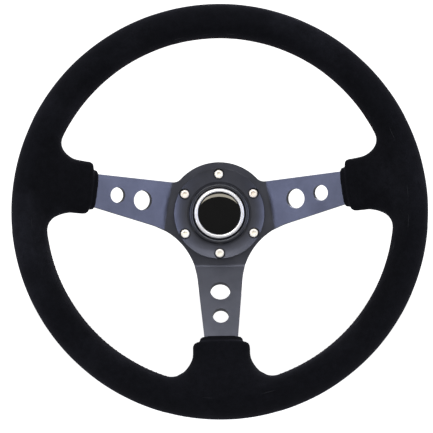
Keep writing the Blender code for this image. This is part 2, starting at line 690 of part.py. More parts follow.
def make_rim(parent, core_look, foam_look, suede_look):
    middle = RIM_RADIUS
    low, high = middle - CORE_WIDTH / 2, middle + CORE_WIDTH / 2
    core_points = [(low, CORE_FRONT), (high, CORE_FRONT), (high, CORE_BACK), (low, CORE_BACK)]
    core = turned("rim_core", core_points, parent, core_look, RIM_SEGMENTS)
    foam = grip_body("rim_foam", SUEDE_THICKNESS + FIT, parent, foam_look)
    cover = grip_body("suede_cover", 0.0, parent, suede_look)
    boolean(cover, grip_body("cover_inside", SUEDE_THICKNESS, parent))
    channel_points = [
        (low - FIT, CORE_FRONT + FIT),
        (high + FIT, CORE_FRONT + FIT),
        (high + FIT, CORE_BACK - FIT),
        (low - FIT, CORE_BACK - FIT),
    ]
    boolean(foam, turned("core_channel", channel_points, parent, None, RIM_SEGMENTS))
    for angle in SPOKE_ANGLES:
        slot = make_spoke_slot(angle, parent)
        boolean(foam, slot, solver="MANIFOLD")
        boolean(cover, slot, solver="MANIFOLD")
    tab_back = TAB_FRONT - PLATE_THICKNESS
    head_back = tab_back - FIT - RIVET_HEAD_HEIGHT
    head_front = CORE_FRONT + FIT + RIVET_HEAD_HEIGHT
    for number, (x, y) in enumerate(rivet_places(), 1):
        boolean(core, pin_cutter("rivet_hole", parent, RIVET_HOLE_RADIUS, tab_back, head_front, (x, y)))
        room = RIVET_HEAD_RADIUS + FIT
        rivet_room = pin_cutter("rivet_room", parent, room, head_back - FIT, head_front + FIT, (x, y))
        boolean(foam, rivet_room, solver="MANIFOLD")
        points = [
            (0, head_front),
            (RIVET_HEAD_RADIUS * 0.7, head_front),
            (RIVET_HEAD_RADIUS, CORE_FRONT + 2 * FIT),
            (RIVET_HEAD_RADIUS, CORE_FRONT + FIT),
            (RIVET_RADIUS, CORE_FRONT + FIT),
            (RIVET_RADIUS, tab_back - FIT),
            (RIVET_HEAD_RADIUS, tab_back - FIT),
            (RIVET_HEAD_RADIUS, tab_back - 2 * FIT),
            (RIVET_HEAD_RADIUS * 0.7, head_back),
            (0, head_back),
        ]
        turned(f"core_rivet_{number}", points, parent, core_look, 10, False, (x, y, 0))


# ------------------------------------------------------------ column side
def box_mesh(name, low, high):
    """A box between two corners."""
    shaped = bmesh.new()
    bmesh.ops.create_cube(shaped, size=1.0)
    middle = (Vector(low) + Vector(high)) / 2
    size = Vector(high) - Vector(low)
    placed = Matrix.Translation(middle) @ Matrix.Diagonal((*size, 1))
    bmesh.ops.transform(shaped, matrix=placed, verts=shaped.verts)
    mesh = bpy.data.meshes.new(name)
    shaped.to_mesh(mesh)
    shaped.free()
    return mesh


def make_base_spigot(parent, look):
    groove_radius = BALL_RADIUS + FIT
    reach = math.acos((BALL_LOCKED_RADIUS - SPIGOT_RADIUS) / groove_radius)
    groove = arc((BALL_LOCKED_RADIUS, BALL_STATION), groove_radius, math.pi - reach, math.pi + reach, 6)
    edge = BASE_DIAMETER / 2
    points = [
        (SPIGOT_BORE_RADIUS, SPIGOT_FRONT),
        (SPIGOT_RADIUS - 1.2 * MM, SPIGOT_FRONT),
        (SPIGOT_RADIUS, SPIGOT_FRONT - 1.2 * MM),
        *groove,
        (SPIGOT_RADIUS, BASE_FRONT),
        (edge - MM, BASE_FRONT),
        (edge, BASE_FRONT - MM),
        (edge, MM),
        (edge - MM, 0),
        (BASE_RECESS_RADIUS, 0),
        (BASE_RECESS_RADIUS, BASE_RECESS_DEPTH),
        (SPIGOT_BORE_RADIUS, BASE_RECESS_DEPTH),
    ]
    base = turned("base_spigot", points, parent, look)
    tooth = box_mesh(
        "spline_tooth",
        (SPIGOT_RADIUS - 2 * MM, -SPLINE_WIDTH / 2, BASE_FRONT - MM),
        (SPIGOT_RADIUS + SPLINE_HEIGHT, SPLINE_WIDTH / 2, SPLINE_FRONT),
    )
    for _, _, angle in around(SPLINE_COUNT, 1):
        boolean(base, place("spline_tooth", tooth, parent, None, turn=angle), "UNION")
    sink = [
        (0, BASE_FRONT + MM),
        (SCREW_HOLE_RADIUS + 3.6 * MM, BASE_FRONT + MM),
        (SCREW_HOLE_RADIUS, BASE_FRONT - 2.6 * MM),
        (SCREW_HOLE_RADIUS, -MM),
        (0, -MM),
    ]
    for x, y, _ in around(BASE_SCREW_COUNT, BASE_SCREW_CIRCLE / 2):
        cutter = turned("base_screw_hole", sink, parent, None, SMALL_SEGMENTS, False, (x, y, 0))
        cutter.rotation_euler = (0, 0, CUTTER_TWIST)
        boolean(base, cutter)


def make_base_contact(parent, plastic, brass):
    head_back = BASE_CONTACT_FRONT - BASE_CONTACT_HEAD_HEIGHT
    outer = SPIGOT_BORE_RADIUS - FIT
    hole = BASE_CONTACT_SHANK_RADIUS + FIT
    sink = BASE_CONTACT_HEAD_RADIUS + FIT
    back = head_back - 12 * MM
    turned(
        "base_insulator",
        [
            (sink, BASE_CONTACT_FRONT),
            (outer, BASE_CONTACT_FRONT),
            (outer, back),
            (hole, back),
            (hole, head_back - FIT),
            (sink, head_back - FIT),
        ],
        parent,
        plastic,
        24,
    )
    turned(
        "base_contact",
        [
            (0, BASE_CONTACT_FRONT),
            (BASE_CONTACT_HEAD_RADIUS, BASE_CONTACT_FRONT),
            (BASE_CONTACT_HEAD_RADIUS, head_back),
            (BASE_CONTACT_SHANK_RADIUS, head_back),
            (BASE_CONTACT_SHANK_RADIUS, back - 2 * MM),
            (0, back - 2 * MM),
        ],
        parent,
        brass,
        SMALL_SEGMENTS,
        False,
    )


# ------------------------------------------------------------- wheel side
def make_release_hub(parent, look):
    edge = HUB_FLANGE_DIAMETER / 2
    groove = SLEEVE_RADIUS - CIRCLIP_GROOVE_DEPTH
    points = [
        (HUB_RECESS_RADIUS, HUB_FRONT),
        (edge - MM, HUB_FRONT),
        (edge, HUB_FRONT - MM),
        (edge, HUB_FLANGE_BACK + MM),
        (edge - MM, HUB_FLANGE_BACK),
        (SLEEVE_RADIUS, HUB_FLANGE_BACK),
        (SLEEVE_RADIUS, CIRCLIP_FRONT + FIT),
        (groove, CIRCLIP_FRONT + FIT),
        (groove, CIRCLIP_BACK - FIT),
        (SLEEVE_RADIUS, CIRCLIP_BACK - FIT),
        (SLEEVE_RADIUS, SLEEVE_BACK + 0.8 * MM),
        (SLEEVE_RADIUS - 0.8 * MM, SLEEVE_BACK),
        (SLEEVE_BORE_RADIUS + 0.6 * MM, SLEEVE_BACK),
        (SLEEVE_BORE_RADIUS, SLEEVE_BACK + 0.6 * MM),
        (SLEEVE_BORE_RADIUS, WEB_BACK),
        (CARRIER_RADIUS + FIT, WEB_BACK),
        (CARRIER_RADIUS + FIT, WEB_FRONT),
        (HUB_RECESS_RADIUS, WEB_FRONT),
    ]
    hub = turned("release_hub", points, parent, look)
    keyway = box_mesh(
        "spline_groove",
        (SPIGOT_RADIUS - MM, -SPLINE_WIDTH / 2 - FIT, SLEEVE_BACK - MM),
        (SPIGOT_RADIUS + SPLINE_HEIGHT + FIT, SPLINE_WIDTH / 2 + FIT, SPLINE_FRONT + FIT),
    )
    for _, _, angle in around(SPLINE_COUNT, 1):
        boolean(hub, place("spline_groove", keyway, parent, None, turn=angle))
    # a ball seat narrows inwards so that a ball cannot fall through it
    seat_radius = BALL_RADIUS + FIT
    nose = arc((0, BALL_LOCKED_RADIUS), seat_radius, 0, -math.pi / 2, 4)
    nose[-1] = (0, nose[-1][1])
    seat = [(0, SLEEVE_RADIUS + 2 * MM), (seat_radius, SLEEVE_RADIUS + 2 * MM), *nose]
    for _, _, angle in around(BALL_COUNT, 1, TURN / 12):
        cutter = turned("ball_seat", seat, parent, None, SMALL_SEGMENTS, False, (0, 0, BALL_STATION))
        cutter.rotation_euler = (0, math.pi / 2, angle)
        boolean(hub, cutter)
    for x, y, _ in around(WHEEL_SCREW_COUNT, WHEEL_SCREW_CIRCLE / 2, TURN / 4):
        back = HUB_FLANGE_BACK - MM
        boolean(hub, pin_cutter("hub_screw_hole", parent, SCREW_HOLE_RADIUS, back, HUB_FRONT + MM, (x, y)))


def make_circlip(parent, look):
    inner = SLEEVE_RADIUS - CIRCLIP_GROOVE_DEPTH + FIT
    outer = SLEEVE_RADIUS + CIRCLIP_HEIGHT
    opening = math.radians(12)
    loop = arc((0, 0), outer, opening, TURN - opening, 40)
    loop += arc((0, 0), inner, TURN - opening, opening, 40)
    mesh = flat_plate("retaining_ring", [loop], CIRCLIP_THICKNESS)
    shaped = bmesh.new()
    shaped.from_mesh(mesh)
    bmesh.ops.remove_doubles(shaped, verts=shaped.verts, dist=0.000001)
    shaped.to_mesh(mesh)
    shaped.free()
    place("retaining_ring", mesh, parent, look, (0, 0, (CIRCLIP_BACK + CIRCLIP_FRONT) / 2))


def make_collar(parent, look, steel):
    flange_back = COLLAR_FRONT - COLLAR_FLANGE_LENGTH
    ramp = COLLAR_FLANGE_RADIUS - COLLAR_BODY_RADIUS
    points = [
        (SPRING_POCKET_RADIUS, COLLAR_FRONT),
        (COLLAR_FLANGE_RADIUS - MM, COLLAR_FRONT),
        (COLLAR_FLANGE_RADIUS, COLLAR_FRONT - MM),
        (COLLAR_FLANGE_RADIUS, flange_back),
        (COLLAR_BODY_RADIUS, flange_back - ramp * 0.6),
        (COLLAR_BODY_RADIUS, COLLAR_BACK + 1.5 * MM),
        (COLLAR_BODY_RADIUS - 1.5 * MM, COLLAR_BACK),
        (COLLAR_BORE_RADIUS, COLLAR_BACK),
        (COLLAR_BORE_RADIUS, COLLAR_RECESS_BACK),
        (COLLAR_RECESS_RADIUS, COLLAR_RECESS_BACK),
        (COLLAR_RECESS_RADIUS, BALL_STATION),
        (COLLAR_BORE_RADIUS, COLLAR_CONE_FRONT),
        (COLLAR_BORE_RADIUS, COLLAR_POCKET_BACK),
        (SPRING_POCKET_RADIUS, COLLAR_POCKET_BACK),
    ]
    collar = turned("release_collar", points, parent, look)
    flute_out = COLLAR_FLANGE_RADIUS + COLLAR_FLUTE_RADIUS / 2
    for x, y, _ in around(COLLAR_FLUTE_COUNT, flute_out):
        low = flange_back - ramp - MM
        boolean(collar, pin_cutter("flute", parent, COLLAR_FLUTE_RADIUS, low, COLLAR_FRONT + MM, (x, y)))
    coil_radius = (COLLAR_BORE_RADIUS + SPRING_POCKET_RADIUS) / 2
    coil(
        "collar_spring",
        parent,
        steel,
        coil_radius,
        SPRING_WIRE_RADIUS,
        COLLAR_POCKET_BACK + FIT,
        HUB_FLANGE_BACK - FIT,
        3.5,
    )


def make_balls(parent, look):
    shaped = bmesh.new()
    bmesh.ops.create_uvsphere(shaped, u_segments=10, v_segments=6, radius=BALL_RADIUS)
    mesh = bpy.data.meshes.new("lock_ball")
    shaped.to_mesh(mesh)
    shaped.free()
    mesh.shade_smooth()
    for number, (x, y, _) in enumerate(around(BALL_COUNT, BALL_FREE_RADIUS, TURN / 12), 1):
        place(f"lock_ball_{number}", mesh, parent, look, (x, y, BALL_STATION))


def make_horn_ring(parent, look, steel):
    low, high = RING_BORE_RADIUS, RING_DIAMETER / 2
    dish = []
    for k in range(5):
        share = k / 4
        height = RING_INNER_HEIGHT + (RING_HEIGHT - RING_INNER_HEIGHT) * share**1.8
        dish.append((low + (high - RING_CORNER - low) * share, RING_BACK + height))
    lip = RING_BACK + RING_LIP_HEIGHT
    points = [
        *dish,
        (high, RING_BACK + RING_HEIGHT - RING_CORNER),
        (high, RING_BACK),
        (PLATE_BORE_RADIUS, RING_BACK),
        (PLATE_BORE_RADIUS, lip),
        (low, lip),
    ]
    ring = turned("horn_ring", points, parent, look)
    head_back = RING_BACK + RING_FLOOR + FIT
    head_front = head_back + SCREW_HEAD_HEIGHT
    shank_back = head_back - SCREW_LENGTH
    screw_points = [
        (0, head_front),
        (SCREW_HEAD_RADIUS - 0.4 * MM, head_front),
        (SCREW_HEAD_RADIUS, head_front - 0.4 * MM),
        (SCREW_HEAD_RADIUS, head_back),
        (SCREW_RADIUS, head_back),
        (SCREW_RADIUS, shank_back + 0.6 * MM),
        (SCREW_RADIUS - 0.6 * MM, shank_back),
        (0, shank_back),
    ]
    socket = bmesh.new()
    bmesh.ops.create_cone(
        socket,
        cap_ends=True,
        segments=6,
        radius1=SCREW_SOCKET_RADIUS,
        radius2=SCREW_SOCKET_RADIUS,
        depth=SOCKET_CUTTER_LENGTH,
    )
    socket_mesh = bpy.data.meshes.new("hex_socket")
    socket.to_mesh(socket_mesh)
    socket.free()
    sink = SCREW_HEAD_RADIUS + COUNTERBORE_CLEARANCE
    for number, (x, y, _) in enumerate(around(WHEEL_SCREW_COUNT, WHEEL_SCREW_CIRCLE / 2, TURN / 4), 1):
        floor = RING_BACK + RING_FLOOR
        boolean(ring, pin_cutter("ring_hole", parent, SCREW_HOLE_RADIUS, RING_BACK - MM, floor + MM, (x, y)))
        boolean(ring, pin_cutter("counterbore", parent, sink, floor, RING_BACK + 2 * RING_HEIGHT, (x, y)))
        screw_piece = turned(
            f"wheel_screw_{number}", screw_points, parent, steel, SMALL_SEGMENTS, False, (x, y, 0)
        )
        at = (x, y, head_front + 0.5 * MM)
        boolean(screw_piece, place("hex_socket", socket_mesh, parent, None, at))


def make_horn_housing(parent, plastic, brass):
    inner = HORN_BODY_RADIUS - HORN_WALL
    foot = HORN_BODY_RADIUS + HORN_FOOT_WIDTH
    rim_front = BEZEL_BACK - FIT
    housing = turned(
        "horn_housing",
        [
            (0, HORN_FLOOR_FRONT),
            (inner, HORN_FLOOR_FRONT),
            (inner, rim_front),
            (HORN_BODY_RADIUS, rim_front),
            (HORN_BODY_RADIUS, HORN_FOOT_FRONT),
            (foot, HORN_FOOT_FRONT),
            (foot, HORN_FLOOR_BACK),
            (0, HORN_FLOOR_BACK),
        ],
        parent,
        plastic,
        closed=False,
    )
    hole = LEAD_RADIUS + LEAD_CLEARANCE
    low, high = HORN_FLOOR_BACK - MM, HORN_FLOOR_FRONT + MM
    boolean(housing, pin_cutter("lead_hole", parent, hole, low, high, (LEAD_OFFSET, 0)))
    middle = (BEZEL_RADIUS + BEZEL_INNER_RADIUS) / 2
    half = (BEZEL_RADIUS - BEZEL_INNER_RADIUS) / 2
    shoulder = BEZEL_BACK + BEZEL_HEIGHT - half
    crown = arc((middle, shoulder), half, math.pi, 0, 5)
    bezel = [*crown, (BEZEL_RADIUS, BEZEL_BACK), (BEZEL_INNER_RADIUS, BEZEL_BACK)]
    turned("horn_bezel", bezel, parent, plastic)
    contact_ring("horn_contact_base", CONTACT_BASE_BACK, CONTACT_BASE_FRONT, parent, brass)


def contact_ring(name, back, front, parent, look):
    """A flat brass ring."""
    points = [
        (CONTACT_INNER_RADIUS, front),
        (CONTACT_OUTER_RADIUS, front),
        (CONTACT_OUTER_RADIUS, back),
        (CONTACT_INNER_RADIUS, back),
    ]
    turned(name, points, parent, look, 24)


def make_horn_button(parent, plastic, gloss, chrome, brass, steel):
    flange = HORN_BODY_RADIUS - HORN_WALL - FIT
    pocket = HORN_SPRING_RADIUS + HORN_SPRING_WIRE_RADIUS + 2 * MM
    pocket_front = CAP_BACK + 3 * MM
    turned(
        "horn_cap",
        [
            (0, CAP_FRONT),
            (CAP_RADIUS - 0.6 * MM, CAP_FRONT),
            (CAP_RADIUS, CAP_FRONT - 0.6 * MM),
            (CAP_RADIUS, CAP_BACK + CAP_FLANGE_HEIGHT),
            (flange, CAP_BACK + CAP_FLANGE_HEIGHT),
            (flange, CAP_BACK),
            (pocket, CAP_BACK),
            (pocket, pocket_front),
            (0, pocket_front),
        ],
        parent,
        plastic,
        closed=False,
    )
    middle = TRIM_RADIUS - TRIM_WIDTH / 2
    shoulder = TRIM_BACK + TRIM_HEIGHT - TRIM_WIDTH / 2
    crown = arc((middle, shoulder), TRIM_WIDTH / 2, math.pi, 0, 5)
    trim = [*crown, (TRIM_RADIUS, TRIM_BACK), (TRIM_RADIUS - TRIM_WIDTH, TRIM_BACK)]
    turned("horn_trim_ring", trim, parent, chrome)
    edge = TRIM_RADIUS - TRIM_WIDTH - FIT
    sphere = (DOME_RISE**2 + edge**2) / (2 * DOME_RISE)
    half_angle = math.asin(edge / sphere)
    top = TRIM_BACK + DOME_EDGE_HEIGHT + DOME_RISE
    dome = arc((0, top - sphere), sphere, TURN / 4, TURN / 4 - half_angle, 5)
    dome[0] = (0, top)
    turned("horn_dome", [*dome, (edge, TRIM_BACK), (0, TRIM_BACK)], parent, gloss, closed=False)
    contact_ring("horn_contact_plate", CONTACT_PLATE_BACK, CONTACT_PLATE_FRONT, parent, brass)
    coil(
        "horn_spring",
        parent,
        steel,
        HORN_SPRING_RADIUS,
        HORN_SPRING_WIRE_RADIUS,
        HORN_FLOOR_FRONT + FIT,
        pocket_front - FIT,
        3.5,
    )


def make_hub_contacts(parent, pin_parent, plastic, brass, steel, rubber):
    turned(
        "contact_carrier",
        [
            (CARRIER_CAVITY_RADIUS, CARRIER_FRONT),
            (CARRIER_FLANGE_RADIUS, CARRIER_FRONT),
            (CARRIER_FLANGE_RADIUS, CARRIER_FLANGE_BACK),
            (CARRIER_RADIUS, CARRIER_FLANGE_BACK),
            (CARRIER_RADIUS, CARRIER_BACK),
            (PIN_RADIUS + FIT, CARRIER_BACK),
            (PIN_RADIUS + FIT, CARRIER_BACK + CARRIER_WALL),
            (CARRIER_CAVITY_RADIUS, CARRIER_BACK + CARRIER_WALL),
        ],
        parent,
        plastic,
        24,
    )
    stub = 1.2 * MM
    disc = CARRIER_CAVITY_RADIUS - FIT
    turned(
        "contact_terminal",
        [
            (0, TERMINAL_TOP),
            (stub, TERMINAL_TOP),
            (stub, TERMINAL_FRONT),
            (disc, TERMINAL_FRONT),
            (disc, TERMINAL_BACK),
            (0, TERMINAL_BACK),
        ],
        parent,
        brass,
        12,
        False,
    )
    turned(
        "contact_pin",
        [
            (0, PIN_FLANGE_FRONT),
            (PIN_FLANGE_RADIUS, PIN_FLANGE_FRONT),
            (PIN_FLANGE_RADIUS, PIN_FLANGE_BACK),
            (PIN_RADIUS, PIN_FLANGE_BACK),
            (PIN_RADIUS, PIN_TIP + 0.5 * MM),
            (PIN_RADIUS - 0.5 * MM, PIN_TIP),
            (0, PIN_TIP),
        ],
        pin_parent,
        brass,
        12,
        False,
    )
    coil(
        "contact_pin_spring",
        parent,
        steel,
        PIN_SPRING_RADIUS,
        PIN_SPRING_WIRE_RADIUS,
        PIN_SPRING_BACK,
        PIN_SPRING_FRONT,
        3.5,
        8,
    )
    # the lead leaves the terminal sideways and rises through the horn housing's floor
    start = Vector((stub + FIT, 0, LEAD_STATION))
    corner = Vector((LEAD_OFFSET, 0, LEAD_STATION))
    end = Vector((LEAD_OFFSET, 0, HORN_FLOOR_FRONT))
    curve = bpy.data.curves.new("horn_lead", "CURVE")
    curve.dimensions = "3D"
    curve.bevel_depth = LEAD_RADIUS
    curve.bevel_resolution = 2
    curve.use_fill_caps = True
    turn_radius = 2 * LEAD_RADIUS
    middle = corner + Vector((-turn_radius, 0, turn_radius))
    route = [start + (corner - start - Vector((turn_radius, 0, 0))) * k / 6 for k in range(7)]
    for k in range(1, 5):
        angle = -TURN / 4 + TURN / 4 * k / 4
        route.append(middle + Vector((math.cos(angle), 0, math.sin(angle))) * turn_radius)
    route.append(end)
    spline = curve.splines.new("POLY")
    spline.points.add(len(route) - 1)
    for point, place_on in zip(spline.points, route):
        point.co = (*place_on, 1)
    place("horn_lead", curve, parent, rubber)


# --------------------------------------------------------------- assembly
def empty(name, parent=None):
    """An unturned empty that carries one moving group."""
    made = bpy.data.objects.new(name, None)
    parts.objects.link(made)
    made.parent = parent
    return made


def main():
    for old in list(bpy.data.objects):
        bpy.data.objects.remove(old)
    bpy.context.scene.collection.children.link(parts)
    bpy.context.scene.collection.children.link(cutters)

    suede = material("black_suede", (0.012, 0.012, 0.014), 0.95)
    foam = material("moulded_foam", (0.05, 0.05, 0.05), 0.9)
    steel = material("bright_steel", (0.75, 0.74, 0.72), 0.3, 1.0)
    anodised = material("slate_anodised", (0.06, 0.07, 0.1), 0.35, 1.0)
    black_anodised = material("black_anodised", (0.02, 0.02, 0.022), 0.4, 1.0)
    satin = material("satin_aluminium", (0.6, 0.6, 0.62), 0.35, 1.0)
    plastic = material("black_plastic", (0.02, 0.02, 0.025), 0.4)
    gloss = material("black_gloss", (0.005, 0.005, 0.005), 0.05)
    chrome = material("chrome", (0.85, 0.86, 0.88), 0.05, 1.0)
    brass = material("brass", (0.7, 0.5, 0.2), 0.3, 1.0)
    rubber = material("rubber", (0.1, 0.01, 0.01), 0.6)

    axis = empty("STEERING_AXIS")
    axis.rotation_euler = (math.pi / 2, 0, 0)
    wheel = empty("WHEEL_SIDE", axis)
    collar = empty("COLLAR_SLIDE", wheel)
    button = empty("HORN_BUTTON", wheel)
    pin = empty("CONTACT_PIN_SLIDE", wheel)

    make_base_spigot(axis, black_anodised)
    make_base_contact(axis, plastic, brass)
    make_release_hub(wheel, black_anodised)
    make_circlip(wheel, steel)
    make_collar(collar, satin, steel)
    make_balls(wheel, steel)
    make_hub_contacts(wheel, pin, plastic, brass, steel, rubber)
    make_spoke_frame(wheel, anodised)
    make_rim(wheel, steel, foam, suede)
    make_horn_ring(wheel, anodised, steel)
    make_horn_housing(wheel, plastic, brass)
    make_horn_button(button, plastic, gloss, chrome, brass, steel)


main()
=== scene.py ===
# %% [markdown]
# # A quick-release steering wheel
# A three-spoke, deep-dish wheel wrapped in black suede, on a ball-lock quick-release hub. The packed
# model gives every piece its place, and this lesson gives each piece its fine shape and its finish.
# The steering axis is Y: the driver sits at -Y, the column is at +Y, and +Z is twelve o'clock. A
# station is a distance along the axis from the back of the column base towards the driver.

import json
import math

import bmesh
import bpy
from mathutils import Matrix, Vector, noise


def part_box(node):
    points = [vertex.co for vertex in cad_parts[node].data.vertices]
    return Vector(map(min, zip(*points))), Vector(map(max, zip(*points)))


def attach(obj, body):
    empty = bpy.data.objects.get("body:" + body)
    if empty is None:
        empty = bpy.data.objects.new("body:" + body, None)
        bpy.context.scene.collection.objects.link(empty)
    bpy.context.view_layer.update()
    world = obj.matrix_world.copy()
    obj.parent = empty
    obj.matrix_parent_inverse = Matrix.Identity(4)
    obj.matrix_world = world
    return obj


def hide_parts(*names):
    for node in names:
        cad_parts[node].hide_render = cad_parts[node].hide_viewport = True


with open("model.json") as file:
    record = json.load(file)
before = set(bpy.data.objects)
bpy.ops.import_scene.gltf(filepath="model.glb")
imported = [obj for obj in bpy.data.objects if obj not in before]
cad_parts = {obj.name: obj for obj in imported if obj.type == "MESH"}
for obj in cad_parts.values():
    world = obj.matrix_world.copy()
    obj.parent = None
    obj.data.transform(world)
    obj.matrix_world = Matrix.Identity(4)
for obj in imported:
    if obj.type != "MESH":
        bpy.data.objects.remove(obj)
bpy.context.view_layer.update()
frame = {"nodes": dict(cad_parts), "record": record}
MM = 0.001
FIT = 0.3 * MM
TURN = 2 * math.pi


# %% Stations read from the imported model
def front(node):
    """The station of a node's driver-side face."""
    return -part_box(node)[0][1]


def back(node):
    """The station of a node's column-side face."""
    return -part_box(node)[1][1]


def reach(node):
    """A turned node's outer radius."""
    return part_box(node)[1][0]


PLATE_BACK = back("spoke_frame")
RING_BACK = back("horn_ring")
BEZEL_BACK = back("horn_bezel")
TRIM_BACK = back("horn_trim_ring")
RIM_OUTER = reach("suede_cover")
GRIP_WIDTH = 28.4 * MM
GRIP_DEPTH = 31 * MM
RIM_RADIUS = RIM_OUTER - GRIP_WIDTH / 2
RIM_STATION = front("suede_cover") - GRIP_DEPTH / 2
print("rim centre plane at", round(RIM_STATION / MM, 2), "mm, grip circle", round(RIM_RADIUS / MM, 2), "mm")

# %% [markdown]
# ## Finishes
# Colours are written as sRGB hex, as a paint chart gives them, and shaders want linear light. One
# function converts them, and one adds a node with its settings and its links, so that each finish
# reads as a short recipe. Patterns are laid on Object coordinates, which are metres here, so a
# noise scale of one over a size gives spots of about that size.


# %% Colour and node helpers
def linear(hex_colour):
    """Linear RGBA from an sRGB hex colour."""
    values = []
    for start in (0, 2, 4):
        part = int(hex_colour[start : start + 2], 16) / 255
        values.append(part / 12.92 if part <= 0.04045 else ((part + 0.055) / 1.055) ** 2.4)
    return (*values, 1.0)


def add(tree, kind, settings=None, links=None):
    """A node of a kind; settings are properties or socket values, links feed its sockets."""
    node = tree.nodes.new("ShaderNode" + kind)
    for key, value in (settings or {}).items():
        if isinstance(key, str) and hasattr(node, key):
            setattr(node, key, value)
        else:
            node.inputs[key].default_value = value
    for key, source in (links or {}).items():
        tree.links.new(source, node.inputs[key])
    return node


def begin(name, hex_colour, roughness, metallic=0.0, sockets=None):
    """A Principled finish: its material, node tree, shader and Object coordinates."""
    material = bpy.data.materials.new(name)
    material.use_nodes = True
    tree = material.node_tree
    shader = tree.nodes["Principled BSDF"]
    settings = {"Base Color": linear(hex_colour), "Roughness": roughness, "Metallic": metallic}
    for key, value in {**settings, **(sockets or {})}.items():
        shader.inputs[key].default_value = value
    return material, tree, shader, add(tree, "TexCoord").outputs["Object"]


def spots(tree, place, size, detail=3.0, roughness=0.55):
    """Noise with spots of a size, 0 to 1."""
    settings = {"Scale": 1 / size, "Detail": detail, "Roughness": roughness}
    return add(tree, "TexNoise", settings, {"Vector": place}).outputs["Fac"]


def graded(tree, source, low, high, dark, light):
    """A colour between two colours as the source goes from low to high."""
    node = add(tree, "ValToRGB", None, {"Fac": source})
    first, last = node.color_ramp.elements
    first.position, first.color = low, dark
    last.position, last.color = high, light
    return node.outputs["Color"]


def ranged(tree, source, low, high, to_low, to_high):
    """A number between two numbers as the source goes from low to high."""
    settings = {"From Min": low, "From Max": high, "To Min": to_low, "To Max": to_high}
    return add(tree, "MapRange", settings, {"Value": source}).outputs["Result"]


def relief(tree, shader, height, depth, under=None):
    """Bump of a depth in metres on the shader's normal."""
    links = {"Height": height}
    if under:
        links["Normal"] = under
    node = add(tree, "Bump", {"Strength": 1.0, "Distance": depth}, links)
    tree.links.new(node.outputs["Normal"], shader.inputs["Normal"])
    return node.outputs["Normal"]


def feed(tree, shader, **sources):
    """Link sources to the shader's sockets, named in lower case with underscores."""
    for key, source in sources.items():
        tree.links.new(source, shader.inputs[key.replace("_", " ").title()])


# %% [markdown]
# Suede is leather sanded to a nap of short fibres. It scatters light at grazing angles, so it takes
# a little sheen, and wherever hands have brushed the nap another way it looks lighter. Wide soft
# patches, a mottle of a few millimetres and a fine grain are layered in its colour and its relief.


# %% Black suede
def black_suede():
    sockets = {"Sheen Weight": 0.18, "Sheen Roughness": 0.5, "Specular IOR Level": 0.1}
    sockets["Sheen Tint"] = linear("9a98a2")
    material, tree, shader, place = begin("black_suede", "121214", 0.96, 0.0, sockets)
    patches = spots(tree, place, 0.06, 2.0, 0.5)
    mottle = spots(tree, place, 0.005, 4.0, 0.6)
    grain = spots(tree, place, 0.0008, 3.0, 0.7)
    brushed = graded(tree, patches, 0.5, 0.72, linear("0f0f11"), linear("1b1b1e"))
    uneven = ranged(tree, mottle, 0.3, 0.7, 0.75, 1.3)
    fine = ranged(tree, grain, 0.3, 0.7, 0.7, 1.4)
    strength = add(tree, "Math", {"operation": "MULTIPLY"}, {0: uneven, 1: fine}).outputs[0]
    colour = add(tree, "VectorMath", {"operation": "SCALE"}, {0: brushed, "Scale": strength}).outputs[0]
    feed(tree, shader, base_color=colour)
    soft = relief(tree, shader, mottle, 0.25 * MM)
    relief(tree, shader, grain, 0.12 * MM, soft)
    return material


# %% [markdown]
# Anodising leaves the metal's own sheen under a dyed oxide layer. The sheet was blasted first, so
# its grain is fine and even: a slight change of roughness and a relief of a few micrometres. The
# two anodised finishes, the turned satin aluminium and the steels share one recipe, and only
# their colour, roughness and grain differ. Turned pieces show faint rings left by the tool, which
# are bands along the distance from the axis.


# %% Metals
def metal(name, hex_colour, roughness, grain=0.0006, depth=0.004 * MM, rings=0.0, spread=0.06, metallic=1.0):
    material, tree, shader, place = begin(name, hex_colour, roughness, metallic)
    fine = spots(tree, place, grain, 2.0)
    cloudy = spots(tree, place, 0.02, 3.0)
    dark = [value * 0.9 for value in linear(hex_colour)[:3]] + [1.0]
    light = [min(value * 1.1, 1.0) for value in linear(hex_colour)[:3]] + [1.0]
    feed(tree, shader, base_color=graded(tree, cloudy, 0.35, 0.65, dark, light))
    feed(tree, shader, roughness=ranged(tree, fine, 0.3, 0.7, roughness - spread, roughness + spread))
    bumps = relief(tree, shader, fine, depth)
    if rings:
        parts = add(tree, "SeparateXYZ", None, {0: place})
        flat = add(tree, "CombineXYZ", None, {0: parts.outputs[0], 1: parts.outputs[2]})
        radius = add(tree, "VectorMath", {"operation": "LENGTH"}, {0: flat.outputs[0]}).outputs["Value"]
        lane = add(tree, "Math", {"operation": "ADD"}, {0: radius, 1: parts.outputs[1]}).outputs[0]
        turns = add(tree, "Math", {"operation": "MULTIPLY", 1: TURN / rings}, {0: lane}).outputs[0]
        wave = add(tree, "Math", {"operation": "SINE"}, {0: turns}).outputs[0]
        relief(tree, shader, wave, 0.0015 * MM, bumps)
    return material


# %% [markdown]
# The plastics are moulded: black with a fine spark-eroded grain on the bezel and the cap, and a
# polished face on the horn dome, which a clear coat makes deep. Foam, rubber and thread are matt.


